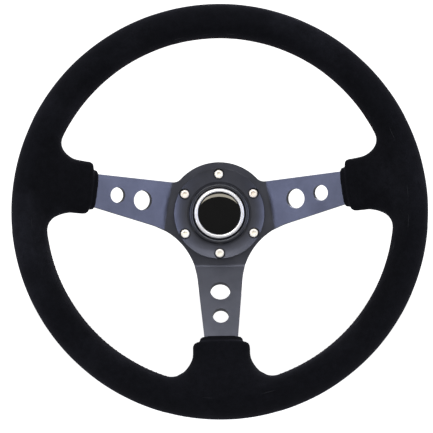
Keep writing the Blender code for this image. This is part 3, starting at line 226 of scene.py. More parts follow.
# %% Plastics, foam, rubber and thread
def moulded(name, hex_colour, roughness, grain=0.0004, depth=0.01 * MM, sockets=None):
    material, tree, shader, place = begin(name, hex_colour, roughness, 0.0, sockets)
    fine = spots(tree, place, grain, 3.0, 0.6)
    cloudy = spots(tree, place, 0.012, 3.0)
    dark = [value * 0.85 for value in linear(hex_colour)[:3]] + [1.0]
    light = [min(value * 1.15, 1.0) for value in linear(hex_colour)[:3]] + [1.0]
    feed(tree, shader, base_color=graded(tree, cloudy, 0.35, 0.65, dark, light))
    feed(tree, shader, roughness=ranged(tree, fine, 0.3, 0.7, roughness * 0.85, roughness * 1.15))
    relief(tree, shader, fine, depth)
    return material


GLOSS_COAT = {"Coat Weight": 0.55, "Coat Roughness": 0.04, "Specular IOR Level": 0.0}
FINISHES = {
    "black_suede": black_suede(),
    "moulded_foam": moulded("moulded_foam", "2b2b2b", 0.9, 0.0012, 0.2 * MM),
    "slate_anodised": metal("slate_anodised", "64656c", 0.42),
    "black_anodised": metal("black_anodised", "26272a", 0.34, rings=0.5 * MM),
    "satin_aluminium": metal("satin_aluminium", "b4b6ba", 0.3, rings=0.4 * MM),
    "bright_steel": metal("bright_steel", "fff6ea", 0.4, metallic=0.1),
    "rim_steel": metal("rim_steel", "8b8a88", 0.4),
    "black_plastic": moulded("black_plastic", "1d1f27", 0.3, sockets={"Specular IOR Level": 0.9}),
    "black_gloss": moulded("black_gloss", "050506", 0.12, 0.004, 0.0005 * MM, GLOSS_COAT),
    "chrome": metal("chrome", "f8f8f8", 0.2, 0.002, 0.0002 * MM, spread=0.02, metallic=0.45),
    "brass": metal("brass", "c79a4b", 0.28),
    "lead_rubber": moulded("lead_rubber", "5a1512", 0.6),
    "thread": moulded("thread", "3a1417", 0.85, 0.0003, 0.03 * MM),
}
print("finishes:", ", ".join(FINISHES))

# %% [markdown]
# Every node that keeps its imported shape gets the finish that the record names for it. Pieces that
# a finer shape stands for are hidden later, so giving them a finish does no harm.

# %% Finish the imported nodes
for part in frame["record"]["subparts"]:
    node = frame["nodes"][part["node"]]
    look = FINISHES[part["material_slot"]]
    if not node.material_slots:
        node.data.materials.append(look)
    for socket in node.material_slots:
        socket.material = look

# %% [markdown]
# ## Turned pieces
# Most of the hub is turned on a lathe. A lathe part is one profile spun about an axis, so each is
# drawn as a few corners (radius, station), its sharp corners are broken with a vertex bevel as a
# turner breaks an edge, and a spin of 128 steps makes the body. Holes, splines and flutes are then
# milled with Booleans, in the order in which a shop would cut them.


# %% Lathe and mill helpers
def turn(points, closed=True, steps=128, at=(0.0, 0.0)):
    """A profile of (radius, station, edge break) corners spun about an axis along Y."""
    shaped = bmesh.new()
    corners = [shaped.verts.new((point[0], -point[1], 0)) for point in points]
    pairs = list(zip(corners, corners[1:]))
    if closed:
        pairs.append((corners[-1], corners[0]))
    for pair in pairs:
        shaped.edges.new(pair)
    sizes = [(corner, point[2]) for corner, point in zip(corners, points) if len(point) > 2]
    for corner, size in sizes:
        bmesh.ops.bevel(
            shaped, geom=[corner], offset=size, offset_type="OFFSET", segments=3, profile=0.5,
            affect="VERTICES", material=-1,
        )
    everything = shaped.verts[:] + shaped.edges[:]
    bmesh.ops.spin(
        shaped, geom=everything, cent=(0, 0, 0), axis=(0, 1, 0), angle=TURN, steps=steps, use_merge=True
    )
    bmesh.ops.remove_doubles(shaped, verts=shaped.verts, dist=0.000002)
    bmesh.ops.recalc_face_normals(shaped, faces=shaped.faces)
    bmesh.ops.translate(shaped, verts=shaped.verts, vec=(at[0], 0, at[1]))
    return shaped


def to_object(shaped, name):
    mesh = bpy.data.meshes.new(name)
    shaped.to_mesh(mesh)
    shaped.free()
    made = bpy.data.objects.new(name, mesh)
    bpy.context.scene.collection.objects.link(made)
    return made


def applied(made):
    """The object's mesh with its modifiers worked out."""
    bpy.context.view_layer.update()
    depsgraph = bpy.context.evaluated_depsgraph_get()
    mesh = bpy.data.meshes.new_from_object(made.evaluated_get(depsgraph))
    made.modifiers.clear()
    old = made.data
    made.data = mesh
    bpy.data.meshes.remove(old)


def mill(blank, tools, operation="DIFFERENCE"):
    """Cut each tool from the blank, or weld it on; a tool is a bmesh."""
    for number, tool in enumerate(tools):
        cutter = to_object(tool, f"tool_{number}")
        step = blank.modifiers.new("mill", "BOOLEAN")
        step.operation = operation
        step.solver = "EXACT"
        step.object = cutter
        applied(blank)
        bpy.data.objects.remove(cutter)


def hand_over(made, name, body, finish, node=None, sharp=32):
    """Name, smooth and finish a piece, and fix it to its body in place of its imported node."""
    made.name = name
    made.data.name = name
    made.data.materials.clear()
    made.data.materials.append(FINISHES[finish])
    made.data.shade_smooth()
    made.data.set_sharp_from_angle(angle=math.radians(sharp))
    if sharp < 180:
        even = made.modifiers.new("even_shading", "WEIGHTED_NORMAL")
        even.keep_sharp = True
    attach(made, body)
    if node:
        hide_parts(node)
    print(name, len(made.data.polygons), "faces")
    return made


def on_circle(count, radius, first=0.0):
    """(x, z, angle) of places round the steering axis."""
    angles = [first + TURN * k / count for k in range(count)]
    return [(radius * math.cos(a), radius * math.sin(a), a) for a in angles]


def drill(radius, low, high, at):
    """A round cutter between two stations."""
    return turn([(0, low), (radius, low), (radius, high), (0, high)], False, 48, at)


# %% [markdown]
# ## Centre ring
# The ring clamps the spoke plate to the hub. Its face is turned hollow: low beside the horn button
# and high at its rim, so its lower half throws the studio light back in a bright crescent. The
# profile is a curve of ten steps, and six counterbores for the screw heads are milled from the
# front.

# %% Centre ring
SCREW_CIRCLE = 37 * MM
SCREW_PLACES = on_circle(6, SCREW_CIRCLE, TURN / 4)
ring_outer = reach("horn_ring")
ring_bore = 27.3 * MM
ring_lip = 30 * MM
ring_height = front("horn_ring") - RING_BACK
dish = []
for k in range(13):
    share = k / 12
    rise = 3.2 * MM + (ring_height - 3.2 * MM) * share**1.8
    dish.append((ring_lip + (ring_outer - 0.5 * MM - ring_lip) * share, RING_BACK + rise))
ring_profile = [
    *dish,
    (ring_outer, RING_BACK + ring_height - 0.5 * MM),
    (ring_outer, RING_BACK, 0.2 * MM),
    (ring_bore, RING_BACK),
    (ring_bore, RING_BACK + 1.5 * MM),
    (ring_lip, RING_BACK + 1.5 * MM),
]
centre_ring = to_object(turn(ring_profile, True, 160), "centre_ring")
holes = [drill(2.8 * MM, RING_BACK - MM, RING_BACK + 2 * MM, (x, z)) for x, z, _ in SCREW_PLACES]
sinks = [drill(5.2 * MM, RING_BACK + MM, RING_BACK + 9 * MM, (x, z)) for x, z, _ in SCREW_PLACES]
mill(centre_ring, holes + sinks)
hand_over(centre_ring, "centre_ring", "wheel", "slate_anodised", "horn_ring")

# %% [markdown]
# ## Wheel screws
# Six M5 cap screws in bright zinc hold the ring, the plate and the hub together. Each head is
# turned with a rounded crown and its hexagon socket is milled out with a six-sided cutter.

# %% Wheel screws
head_back = RING_BACK + 1.3 * MM
head_front = front("wheel_screw_1")
screw_tip = back("wheel_screw_1")
screw_profile = [
    (0, head_front),
    (3.95 * MM, head_front, 0.9 * MM),
    (3.95 * MM, head_back, 0.15 * MM),
    (2.5 * MM, head_back),
    (2.5 * MM, screw_tip, 0.5 * MM),
    (0, screw_tip),
]
screws = []
for number, (x, z, _) in enumerate(SCREW_PLACES, 1):
    screw = to_object(turn(screw_profile, False, 40, (x, z)), "screw")
    socket = bmesh.new()
    bmesh.ops.create_cone(
        socket, cap_ends=True, segments=6, radius1=2.2 * MM, radius2=2.3 * MM, depth=5 * MM,
        matrix=Matrix.Translation((x, -head_front - 0.5 * MM, z)) @ Matrix.Rotation(TURN / 4, 4, "X"),
    )
    mill(screw, [socket])
    screws.append(hand_over(screw, f"zinc_screw_{number}", "wheel", "bright_steel", f"wheel_screw_{number}"))

# %% [markdown]
# ## Horn button
# A half-round bezel stands round the button. Inside it the moulded cap carries a bright trim ring
# and a polished dome, which bulges enough to catch one band of light near its upper edge.

# %% Horn bezel, cap, trim ring and dome
bezel_out, bezel_in = reach("horn_bezel"), 24 * MM
bezel_front = front("horn_bezel")
half_round = (bezel_out - bezel_in) / 2
bezel_profile = [
    (bezel_in, BEZEL_BACK),
    (bezel_in, bezel_front, half_round * 0.98),
    (bezel_out, bezel_front, half_round * 0.98),
    (bezel_out, BEZEL_BACK, 0.2 * MM),
]
bezel = to_object(turn(bezel_profile, True, 160), "bezel")
hand_over(bezel, "half_round_bezel", "wheel", "black_plastic", "horn_bezel")
cap_front = front("horn_cap")
cap_back = back("horn_cap")
cap_profile = [
    (0, cap_front),
    (23.6 * MM, cap_front, 0.6 * MM),
    (23.6 * MM, cap_back + 2.7 * MM, 0.2 * MM),
    (reach("horn_cap"), cap_back + 2.7 * MM, 0.3 * MM),
    (reach("horn_cap"), cap_back, 0.3 * MM),
    (10.5 * MM, cap_back),
    (10.5 * MM, cap_back + 3 * MM),
    (0, cap_back + 3 * MM),
]
cap = to_object(turn(cap_profile, False, 128), "cap")
hand_over(cap, "moulded_cap", "horn_button", "black_plastic", "horn_cap")
trim_out, trim_in = reach("horn_trim_ring"), 19.9 * MM
trim_front = front("horn_trim_ring")
trim_profile = [
    (trim_in, TRIM_BACK),
    (trim_in, trim_front, 1.0 * MM),
    (trim_out, trim_front, 1.6 * MM),
    (trim_out, TRIM_BACK, 0.1 * MM),
]
trim = to_object(turn(trim_profile, True, 160), "trim")
hand_over(trim, "bright_trim", "horn_button", "chrome", "horn_trim_ring")
dome_out = reach("horn_dome")
dome_top = front("horn_dome")
dome_edge = TRIM_BACK + MM
dome_profile = [(0, TRIM_BACK), (dome_out, TRIM_BACK), (dome_out, dome_edge, 0.4 * MM)]
for k in range(11, -1, -1):
    share = k / 12
    bulge = (1 - share**2.6) ** 0.9
    dome_profile.append((dome_out * share, dome_edge + 0.8 * (dome_top - dome_edge) * bulge))
dome = to_object(turn(dome_profile, False, 128), "dome")
hand_over(dome, "gloss_dome", "horn_button", "black_gloss", "horn_dome", 60)

# %% [markdown]
# ## Quick release
# The hub side is a sleeve on a flange, and the column side a spigot on a base. Splines carry the
# turning force, six balls in the sleeve lock into a groove of the spigot, and a fluted collar
# holds them in. All are turned, then milled: the splines are welded to the spigot as its stock
# would be left standing between cuts, and their grooves, the ball seats and the flutes are cut.

# %% Base and its splined spigot
BASE_THICKNESS, BASE_RADIUS = 8 * MM, reach("base_spigot")
SPIGOT_RADIUS, SPIGOT_FRONT, BORE_RADIUS = 18 * MM, front("base_spigot"), 9 * MM
SPLINE_FRONT, SPLINE_HEIGHT, SPLINE_WIDTH = 20 * MM, 3 * MM, 5 * MM
BALL_RADIUS, BALL_STATION, BALL_SEAT = 4 * MM, 26 * MM, 20.2 * MM


def spline_tool(angle, low, high, inner, outer, width):
    """A straight-sided key along the axis at an angle, its long edges broken."""
    key = bmesh.new()
    bmesh.ops.create_cube(key, size=1.0)
    size = Matrix.Diagonal((outer - inner, high - low, width, 1))
    place = Matrix.Translation(((inner + outer) / 2, -(low + high) / 2, 0))
    bmesh.ops.transform(key, matrix=place @ size, verts=key.verts)
    bmesh.ops.bevel(
        key, geom=key.edges[:], offset=0.35 * MM, offset_type="OFFSET", segments=2, profile=0.5,
        affect="EDGES",
    )
    bmesh.ops.transform(key, matrix=Matrix.Rotation(-angle, 4, "Y"), verts=key.verts)
    return key


groove_radius = BALL_RADIUS + FIT
half_swing = math.acos((BALL_SEAT - SPIGOT_RADIUS) / groove_radius)
ball_groove = []
for k in range(13):
    turned = math.pi - half_swing + 2 * half_swing * k / 12
    height = BALL_STATION + groove_radius * math.sin(turned)
    ball_groove.append((BALL_SEAT + groove_radius * math.cos(turned), height))
base_profile = [
    (BORE_RADIUS, SPIGOT_FRONT, 0.4 * MM),
    (SPIGOT_RADIUS, SPIGOT_FRONT, 1.2 * MM),
    *ball_groove,
    (SPIGOT_RADIUS, BASE_THICKNESS, 0.5 * MM),
    (BASE_RADIUS, BASE_THICKNESS, 1 * MM),
    (BASE_RADIUS, 0, 1 * MM),
    (15 * MM, 0, 0.5 * MM),
    (15 * MM, 6 * MM),
    (BORE_RADIUS, 6 * MM),
]
splined_base = to_object(turn(base_profile), "base")
teeth = []
for _, _, angle in on_circle(8, 1):
    inner, outer = SPIGOT_RADIUS - 2 * MM, SPIGOT_RADIUS + SPLINE_HEIGHT
    teeth.append(spline_tool(angle, BASE_THICKNESS - MM, SPLINE_FRONT, inner, outer, SPLINE_WIDTH))
mill(splined_base, teeth, "UNION")
sink_profile = [(0, 9 * MM), (6.4 * MM, 9 * MM), (2.8 * MM, 5.4 * MM), (2.8 * MM, -MM), (0, -MM)]
mill(splined_base, [turn(sink_profile, False, 32, (x, z)) for x, z, _ in on_circle(6, 35 * MM)])
hand_over(splined_base, "splined_base", "column_side", "black_anodised", "base_spigot")

# %% Release hub
SLEEVE_RADIUS, SLEEVE_BORE, SLEEVE_BACK = 24 * MM, SPIGOT_RADIUS + FIT, BASE_THICKNESS + FIT
HUB_FLANGE, HUB_FRONT, WEB_BACK, WEB_FRONT = reach("release_hub"), front("release_hub"), 41 * MM, 44 * MM
FLANGE_BACK, RECESS, CARRIER_HOLE = HUB_FRONT - 8 * MM, 30 * MM, 8.3 * MM
CLIP_BACK, CLIP_FRONT = back("retaining_ring"), front("retaining_ring")
hub_profile = [
    (RECESS, HUB_FRONT, 0.3 * MM),
    (HUB_FLANGE, HUB_FRONT, 0.8 * MM),
    (HUB_FLANGE, FLANGE_BACK, 0.8 * MM),
    (SLEEVE_RADIUS, FLANGE_BACK, 0.5 * MM),
    (SLEEVE_RADIUS, CLIP_FRONT + FIT),
    (SLEEVE_RADIUS - MM, CLIP_FRONT + FIT),
    (SLEEVE_RADIUS - MM, CLIP_BACK - FIT),
    (SLEEVE_RADIUS, CLIP_BACK - FIT),
    (SLEEVE_RADIUS, SLEEVE_BACK, 0.8 * MM),
    (SLEEVE_BORE, SLEEVE_BACK, 0.6 * MM),
    (SLEEVE_BORE, WEB_BACK),
    (CARRIER_HOLE, WEB_BACK),
    (CARRIER_HOLE, WEB_FRONT),
    (RECESS, WEB_FRONT),
]


def ball_seat(angle):
    """A cutter for a ball seat: a round nose and a shank that points outwards at an angle."""
    nose = [(0, BALL_SEAT - groove_radius)]
    for k in range(1, 9):
        swing = TURN / 4 * k / 8
        nose.append((groove_radius * math.sin(swing), BALL_SEAT - groove_radius * math.cos(swing)))
    seat = turn([*nose, (groove_radius, 26 * MM), (0, 26 * MM)], False, 32)
    outward = Vector((math.cos(angle), 0, math.sin(angle)))
    aside = Vector((-outward.z, 0, outward.x))
    stand = Matrix((aside, -outward, aside.cross(-outward))).transposed().to_4x4()
    bmesh.ops.transform(seat, matrix=Matrix.Translation((0, -BALL_STATION, 0)) @ stand, verts=seat.verts)
    return seat


keyed_hub = to_object(turn(hub_profile), "hub")
grooves = []
for _, _, angle in on_circle(8, 1):
    inner, outer = SPIGOT_RADIUS - MM, SPIGOT_RADIUS + SPLINE_HEIGHT + FIT
    width = SPLINE_WIDTH + 2 * FIT
    grooves.append(spline_tool(angle, SLEEVE_BACK - MM, SPLINE_FRONT + FIT, inner, outer, width))
mill(keyed_hub, grooves)
mill(keyed_hub, [ball_seat(angle) for _, _, angle in on_circle(6, 1, TURN / 12)])
mill(keyed_hub, [drill(2.8 * MM, FLANGE_BACK - MM, HUB_FRONT + MM, (x, z)) for x, z, _ in SCREW_PLACES])
hand_over(keyed_hub, "keyed_hub", "wheel", "black_anodised", "release_hub")

# %% Release collar
COLLAR_FRONT, COLLAR_BACK = front("release_collar"), back("release_collar")
COLLAR_BORE, COLLAR_BODY, COLLAR_FLANGE, POCKET = 24.3 * MM, 31.5 * MM, 36.5 * MM, 30 * MM
collar_profile = [
    (POCKET, COLLAR_FRONT, 0.3 * MM),
    (COLLAR_FLANGE, COLLAR_FRONT, 1 * MM),
    (COLLAR_FLANGE, COLLAR_FRONT - 8 * MM, 0.8 * MM),
    (COLLAR_BODY, COLLAR_FRONT - 11 * MM, 1.5 * MM),
    (COLLAR_BODY, COLLAR_BACK, 1.5 * MM),
    (COLLAR_BORE, COLLAR_BACK, 0.4 * MM),
    (COLLAR_BORE, COLLAR_BACK + 3.8 * MM),
    (COLLAR_BORE + 2.2 * MM, COLLAR_BACK + 3.8 * MM),
    (COLLAR_BORE + 2.2 * MM, BALL_STATION),
    (COLLAR_BORE, BALL_STATION + 6.6 * MM),
    (COLLAR_BORE, BALL_STATION + 7.8 * MM),
    (POCKET, BALL_STATION + 7.8 * MM),
]
fluted_collar = to_object(turn(collar_profile), "collar")
flutes = []
for x, z, _ in on_circle(12, COLLAR_FLANGE + 2 * MM):
    flutes.append(drill(4 * MM, COLLAR_FRONT - 14 * MM, COLLAR_FRONT + MM, (x, z)))
mill(fluted_collar, flutes)
hand_over(fluted_collar, "fluted_collar", "collar", "satin_aluminium", "release_collar")

# %% Retaining ring and lock balls
open_ring = bmesh.new()
opening = math.radians(12)
clip_loops = []
for k in range(97):
    angle = opening + (TURN - 2 * opening) * k / 96
    loop = []
    for out, station in ((-0.7, 0.0), (2.0, 0.0), (2.0, 1.0), (-0.7, 1.0)):
        radius = SLEEVE_RADIUS + out * MM
        depth = CLIP_BACK + (CLIP_FRONT - CLIP_BACK) * station
        loop.append(open_ring.verts.new((radius * math.cos(angle), -depth, radius * math.sin(angle))))
    clip_loops.append(loop)
for first, second in zip(clip_loops, clip_loops[1:]):
    for k in range(4):
        open_ring.faces.new((first[k - 1], first[k], second[k], second[k - 1]))
open_ring.faces.new(clip_loops[0])
open_ring.faces.new(clip_loops[-1][::-1])
bmesh.ops.recalc_face_normals(open_ring, faces=open_ring.faces)
hand_over(to_object(open_ring, "ring"), "open_ring", "wheel", "bright_steel", "retaining_ring")
for number in range(1, 7):
    low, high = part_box(f"lock_ball_{number}")
    centre = (Vector(low) + Vector(high)) / 2
    ball = bmesh.new()
    bmesh.ops.create_uvsphere(ball, u_segments=32, v_segments=16, radius=BALL_RADIUS)
    bmesh.ops.translate(ball, verts=ball.verts, vec=centre)
    ball = to_object(ball, "ball")
    hand_over(ball, f"steel_ball_{number}", f"lock_ball_{number}", "bright_steel", f"lock_ball_{number}", 180)

# %% [markdown]
# ## Spoke plate
# The hub disc and the three spokes are one 5 mm aluminium sheet: cut flat, drilled, then folded
# twice at each spoke so that the rim stands towards the driver. It is made the same way here. The
# flat outline and its holes are filled, the sheet is scored with fine lines where it will bend,
# the fold moves the points, and a Solidify and a Bevel give it its thickness and its broken edges.

# %% The fold
SPOKE_RISE = math.radians(10)
SPOKE_ANGLES = (SPOKE_RISE, math.pi - SPOKE_RISE, -TURN / 4)
PLATE_THICKNESS = 5 * MM
PLATE_MIDDLE = PLATE_BACK + PLATE_THICKNESS / 2
BEND_START = 46.5 * MM
BEND_RADIUS = 8.5 * MM
CORE_WIDTH = 9 * MM
TAB_FRONT = front("spoke_frame")
fold_reach = RIM_RADIUS - CORE_WIDTH / 2 - FIT - 4 * MM - BEND_START
fold_rise = TAB_FRONT - PLATE_BACK - PLATE_THICKNESS
STRAIGHT = math.sqrt((fold_rise - 2 * BEND_RADIUS) ** 2 + fold_reach**2 - 4 * BEND_RADIUS**2)
SLOPE = math.atan2(fold_rise - 2 * BEND_RADIUS, fold_reach) + math.atan2(2 * BEND_RADIUS, STRAIGHT)
BEND_LENGTH = BEND_RADIUS * SLOPE
SECOND_BEND = BEND_START + BEND_LENGTH + STRAIGHT
print("the spokes rise at", round(math.degrees(SLOPE), 1), "degrees")


def folded(length):
    """(radius out, height, tilt) of the sheet's middle at a length along it."""
    if length <= BEND_START:
        return length, 0.0, 0.0
    tilt = min((length - BEND_START) / BEND_RADIUS, SLOPE)
    out = BEND_START + BEND_RADIUS * math.sin(tilt)
    height = BEND_RADIUS * (1 - math.cos(tilt))
    run = min(max(length - BEND_START - BEND_LENGTH, 0.0), STRAIGHT)
    out += run * math.cos(SLOPE)
    height += run * math.sin(SLOPE)
    if length > SECOND_BEND:
        unrolled = min((length - SECOND_BEND) / BEND_RADIUS, SLOPE)
        out += BEND_RADIUS * (math.sin(SLOPE) - math.sin(SLOPE - unrolled))
        height += BEND_RADIUS * (math.cos(SLOPE - unrolled) - math.cos(SLOPE))
        tilt = SLOPE - unrolled
        out += max(length - SECOND_BEND - BEND_LENGTH, 0.0)
    return out, height, tilt


def flat_length(out):
    """The length along the flat sheet that ends up at radius out."""
    low, high = 0.0, 2 * out
    for _ in range(40):
        middle = (low + high) / 2
        if folded(middle)[0] < out:
            low = middle
        else:
            high = middle
    return low


def on_sheet(point):
    """Where a point of the finished front view lies on the flat sheet."""
    for angle in SPOKE_ANGLES:
        along = Vector((math.cos(angle), math.sin(angle)))
        out = point.dot(along)
        if out > BEND_START:
            return point + along * (flat_length(out) - out)
    return point


# %% The outline
GAUGE_RADIUS, GAUGE_HALF_WIDTH, TAPER, END_HALF_WIDTH = 105.5 * MM, 15.5 * MM, 0.12, 13.6 * MM
HUB_RADIUS = 49 * MM
SHOULDER = 9 * MM
WEB = 61 * MM


def spoke_edge(angle, side):
    """(a point, the outward direction) of a spoke's tapered edge."""
    along = Vector((math.cos(angle), math.sin(angle)))
    left = Vector((-along.y, along.x)) * side
    return along * GAUGE_RADIUS + left * GAUGE_HALF_WIDTH, (along - left * TAPER).normalized()


def swept(centre, radius, start, end, steps):
    """Points of an arc about a centre between two points' directions."""
    first = math.atan2(start.y - centre.y, start.x - centre.x)
    last = math.atan2(end.y - centre.y, end.x - centre.x)
    swing = (last - first + math.pi) % TURN - math.pi
    angles = [first + swing * k / steps for k in range(steps + 1)]
    return [centre + Vector((math.cos(a), math.sin(a))) * radius for a in angles]


def spoke_end(angle, sides):
    """The corners of a spoke's straight part and tab, from one side to the other."""
    along = Vector((math.cos(angle), math.sin(angle)))
    left = Vector((-along.y, along.x))
    taper_out = GAUGE_RADIUS + (GAUGE_HALF_WIDTH - END_HALF_WIDTH) / TAPER
    tab_out = RIM_RADIUS + CORE_WIDTH / 2
    outs = (taper_out, tab_out, tab_out, taper_out)
    lanes = (sides[0], sides[0], sides[1], sides[1])
    return [along * out + left * lane * END_HALF_WIDTH for out, lane in zip(outs, lanes)]


def outline():
    """The hub disc and the spokes seen from the front, clockwise from the top."""
    start, way = spoke_edge(SPOKE_RISE, 1)
    normal = Vector((-way.y, way.x))
    lift = (start + normal * SHOULDER).dot(normal)
    shoulder = normal * lift + way * math.sqrt((HUB_RADIUS + SHOULDER) ** 2 - lift**2)
    on_hub = shoulder * (HUB_RADIUS / shoulder.length)
    right = swept(Vector((0, 0)), HUB_RADIUS, Vector((0, HUB_RADIUS)), on_hub, 32)
    right += swept(shoulder, SHOULDER, on_hub, shoulder - normal * SHOULDER, 14)
    right += spoke_end(SPOKE_RISE, (1, -1))
    lower, lower_way = spoke_edge(SPOKE_RISE, -1)
    beside, beside_way = spoke_edge(-TURN / 4, 1)
    lower_normal = Vector((lower_way.y, -lower_way.x))
    beside_normal = Vector((-beside_way.y, beside_way.x))
    first, second = lower + lower_normal * WEB, beside + beside_normal * WEB
    gap = second - first
    span = lower_way.x * beside_way.y - lower_way.y * beside_way.x
    web = first + lower_way * ((gap.x * beside_way.y - gap.y * beside_way.x) / span)
    right += swept(web, WEB, web - lower_normal * WEB, web - beside_normal * WEB, 48)
    right += spoke_end(-TURN / 4, (1, -1))[:2]
    left = [Vector((-p.x, p.y)) for p in reversed(right) if abs(p.x) > 0.01 * MM]
    return right + left


def ring_of(x, y, radius, count):
    return [Vector((x + radius * math.cos(a), y + radius * math.sin(a))) for _, _, a in on_circle(count, 1)]


# %% Cut, score, fold and thicken the sheet
def spoke_plate():
    loops = [[on_sheet(point) for point in outline()], ring_of(0, 0, 27.3 * MM, 128)]
    loops += [ring_of(x, z, 2.8 * MM, 32) for x, z, _ in SCREW_PLACES]
    for angle in SPOKE_ANGLES:
        for out, radius in ((72.5 * MM, 9.1 * MM), (94 * MM, 7.1 * MM)):
            centre = on_sheet(Vector((math.cos(angle), math.sin(angle))) * out)
            loops.append(ring_of(centre.x, centre.y, radius, 64))
    shaped = bmesh.new()
    for loop in loops:
        corners = [shaped.verts.new((point.x, point.y, 0)) for point in loop]
        for pair in zip(corners, corners[1:] + corners[:1]):
            shaped.edges.new(pair)
    bmesh.ops.remove_doubles(shaped, verts=shaped.verts, dist=0.02 * MM)
    bmesh.ops.triangle_fill(shaped, use_beauty=True, use_dissolve=False, edges=shaped.edges[:])
    scores = [BEND_START + BEND_LENGTH * k / 10 for k in range(11)]
    scores += [SECOND_BEND + BEND_LENGTH * k / 6 for k in range(7)]
    for angle in SPOKE_ANGLES:
        along = Vector((math.cos(angle), math.sin(angle), 0))
        for score in scores:
            everything = shaped.verts[:] + shaped.edges[:] + shaped.faces[:]
            bmesh.ops.bisect_plane(
                shaped, geom=everything, dist=0.000001, plane_co=along * score, plane_no=along
            )
    for vert in shaped.verts:
        for angle in SPOKE_ANGLES:
            along = Vector((math.cos(angle), math.sin(angle), 0))
            length = vert.co.dot(along)
            if length > BEND_START:
                out, height, _ = folded(length)
                vert.co += along * (out - length)
                vert.co.z = height
                break
    stand = Matrix.Translation((0, -PLATE_MIDDLE, 0)) @ Matrix.Rotation(TURN / 4, 4, "X")
    bmesh.ops.transform(shaped, matrix=stand, verts=shaped.verts)
    bmesh.ops.recalc_face_normals(shaped, faces=shaped.faces)
    sheet = to_object(shaped, "sheet")
    thick = sheet.modifiers.new("thickness", "SOLIDIFY")
    thick.thickness = PLATE_THICKNESS
    thick.offset = 0.0
    edges = sheet.modifiers.new("broken_edges", "BEVEL")
    edges.width = 0.45 * MM
    edges.segments = 3
    edges.limit_method = "ANGLE"
    edges.angle_limit = math.radians(50)
    applied(sheet)
    return sheet


hand_over(spoke_plate(), "folded_spoke_plate", "wheel", "slate_anodised", "spoke_frame", 55)

# %% [markdown]
# ## Wrapped grip
# The rim is a steel ring in moulded foam with suede stretched over it and glued down. The wrap
# runs a little way down each spoke in a thick stub and ends in a thin cuff. A ring and six lofted
# bodies are joined by a voxel remesh, which melts their seams into one skin, and smoothing the
# creases makes the stretched fillets. The skin is glued, so it can't hang or swell, and shaping
# it this way is truer than a cloth simulation would be.


# %% Ring, stubs and cuffs
def rounded_section(shaped, section, placed, shear):
    """One rounded section of a stub, as a loop of edges."""
    _, left, right, half_thick = section
    made = bmesh.ops.create_circle(shaped, segments=48, radius=1.0)
    for vert in made["verts"]:
        half_across = left if vert.co.x > 0 else right
        across = half_across * math.copysign(abs(vert.co.x) ** 0.7, vert.co.x)
        up = half_thick * math.copysign(abs(vert.co.y) ** 0.7, vert.co.y)
        vert.co = (across, up, across * shear)
    bmesh.ops.transform(shaped, matrix=placed, verts=made["verts"])
    ring = set(made["verts"])
    return [edge for edge in shaped.edges if edge.verts[0] in ring and edge.verts[1] in ring]


def lofted(sections, angle):
    """A closed body through rounded sections (radius out, left and right half-width, half-thickness)."""
    shaped = bmesh.new()
    along = Vector((math.cos(angle), 0, math.sin(angle)))
    across = Vector((-math.sin(angle), 0, math.cos(angle)))
    up = Vector((0, -math.cos(SLOPE), 0)) - along * math.sin(SLOPE)
    turned_to = Matrix((across, up, across.cross(up))).transposed().to_4x4()
    loops = []
    for section in sections:
        run = (section[0] - BEND_START) / math.cos(SLOPE)
        centre = along * section[0] - Vector((0, PLATE_MIDDLE + run * math.sin(SLOPE), 0))
        placed = Matrix.Translation(centre) @ turned_to
        loops.append(rounded_section(shaped, section, placed, STUB_LEAN * math.cos(angle)))
    for first, second in zip(loops, loops[1:]):
        bmesh.ops.bridge_loops(shaped, edges=first + second)
    bmesh.ops.edgeloop_fill(shaped, edges=loops[0])
    bmesh.ops.edgeloop_fill(shaped, edges=loops[-1])
    bmesh.ops.recalc_face_normals(shaped, faces=shaped.faces)
    return shaped


STUB_END, CUFF_END = 116.5 * MM, 112 * MM
STUB_HALF_THICK, STUB_EDGE = 10 * MM, 2 * MM
STUB_LEAN = 0.07
FILLET_SETBACK = 5 * MM
# (half-width at the end, flare, fillet radius) of a stub's upper, lower and bottom-spoke sides
UPPER_SIDE = (23.9 * MM, -0.055, 11.5 * MM)
LOWER_SIDE = (21.9 * MM, 0.17, 15 * MM)
BOTTOM_SIDE = (24.7 * MM, 0.03, 16.5 * MM)
STUB_SIDES = ((UPPER_SIDE, LOWER_SIDE), (LOWER_SIDE, UPPER_SIDE), (BOTTOM_SIDE, BOTTOM_SIDE))
CUFF_HALF_WIDTHS = (17.6 * MM, 17.6 * MM, 19 * MM)


def fillet_centre(side):
    """(radius along the spoke, distance aside of it) of the fillet between a stub and the rim."""
    start, flare, fillet = side
    centre = RIM_RADIUS - GRIP_WIDTH / 2 - fillet
    aside = start + fillet
    for _ in range(3):
        out = math.sqrt(centre**2 - aside**2)
        aside = start + flare * (out - STUB_END) + fillet * math.sqrt(1 + flare**2)
    return out, aside


def stub_edge(out, side):
    """Half the stub's width on one side at a radius; its fillet stays inside the rim's own."""
    start, flare, fillet = side
    centre_out, _ = fillet_centre(side)
    over = min(max(out - centre_out - FILLET_SETBACK, 0.0), fillet)
    return start + flare * (min(out, centre_out) - STUB_END) + fillet - math.sqrt(fillet**2 - over**2)


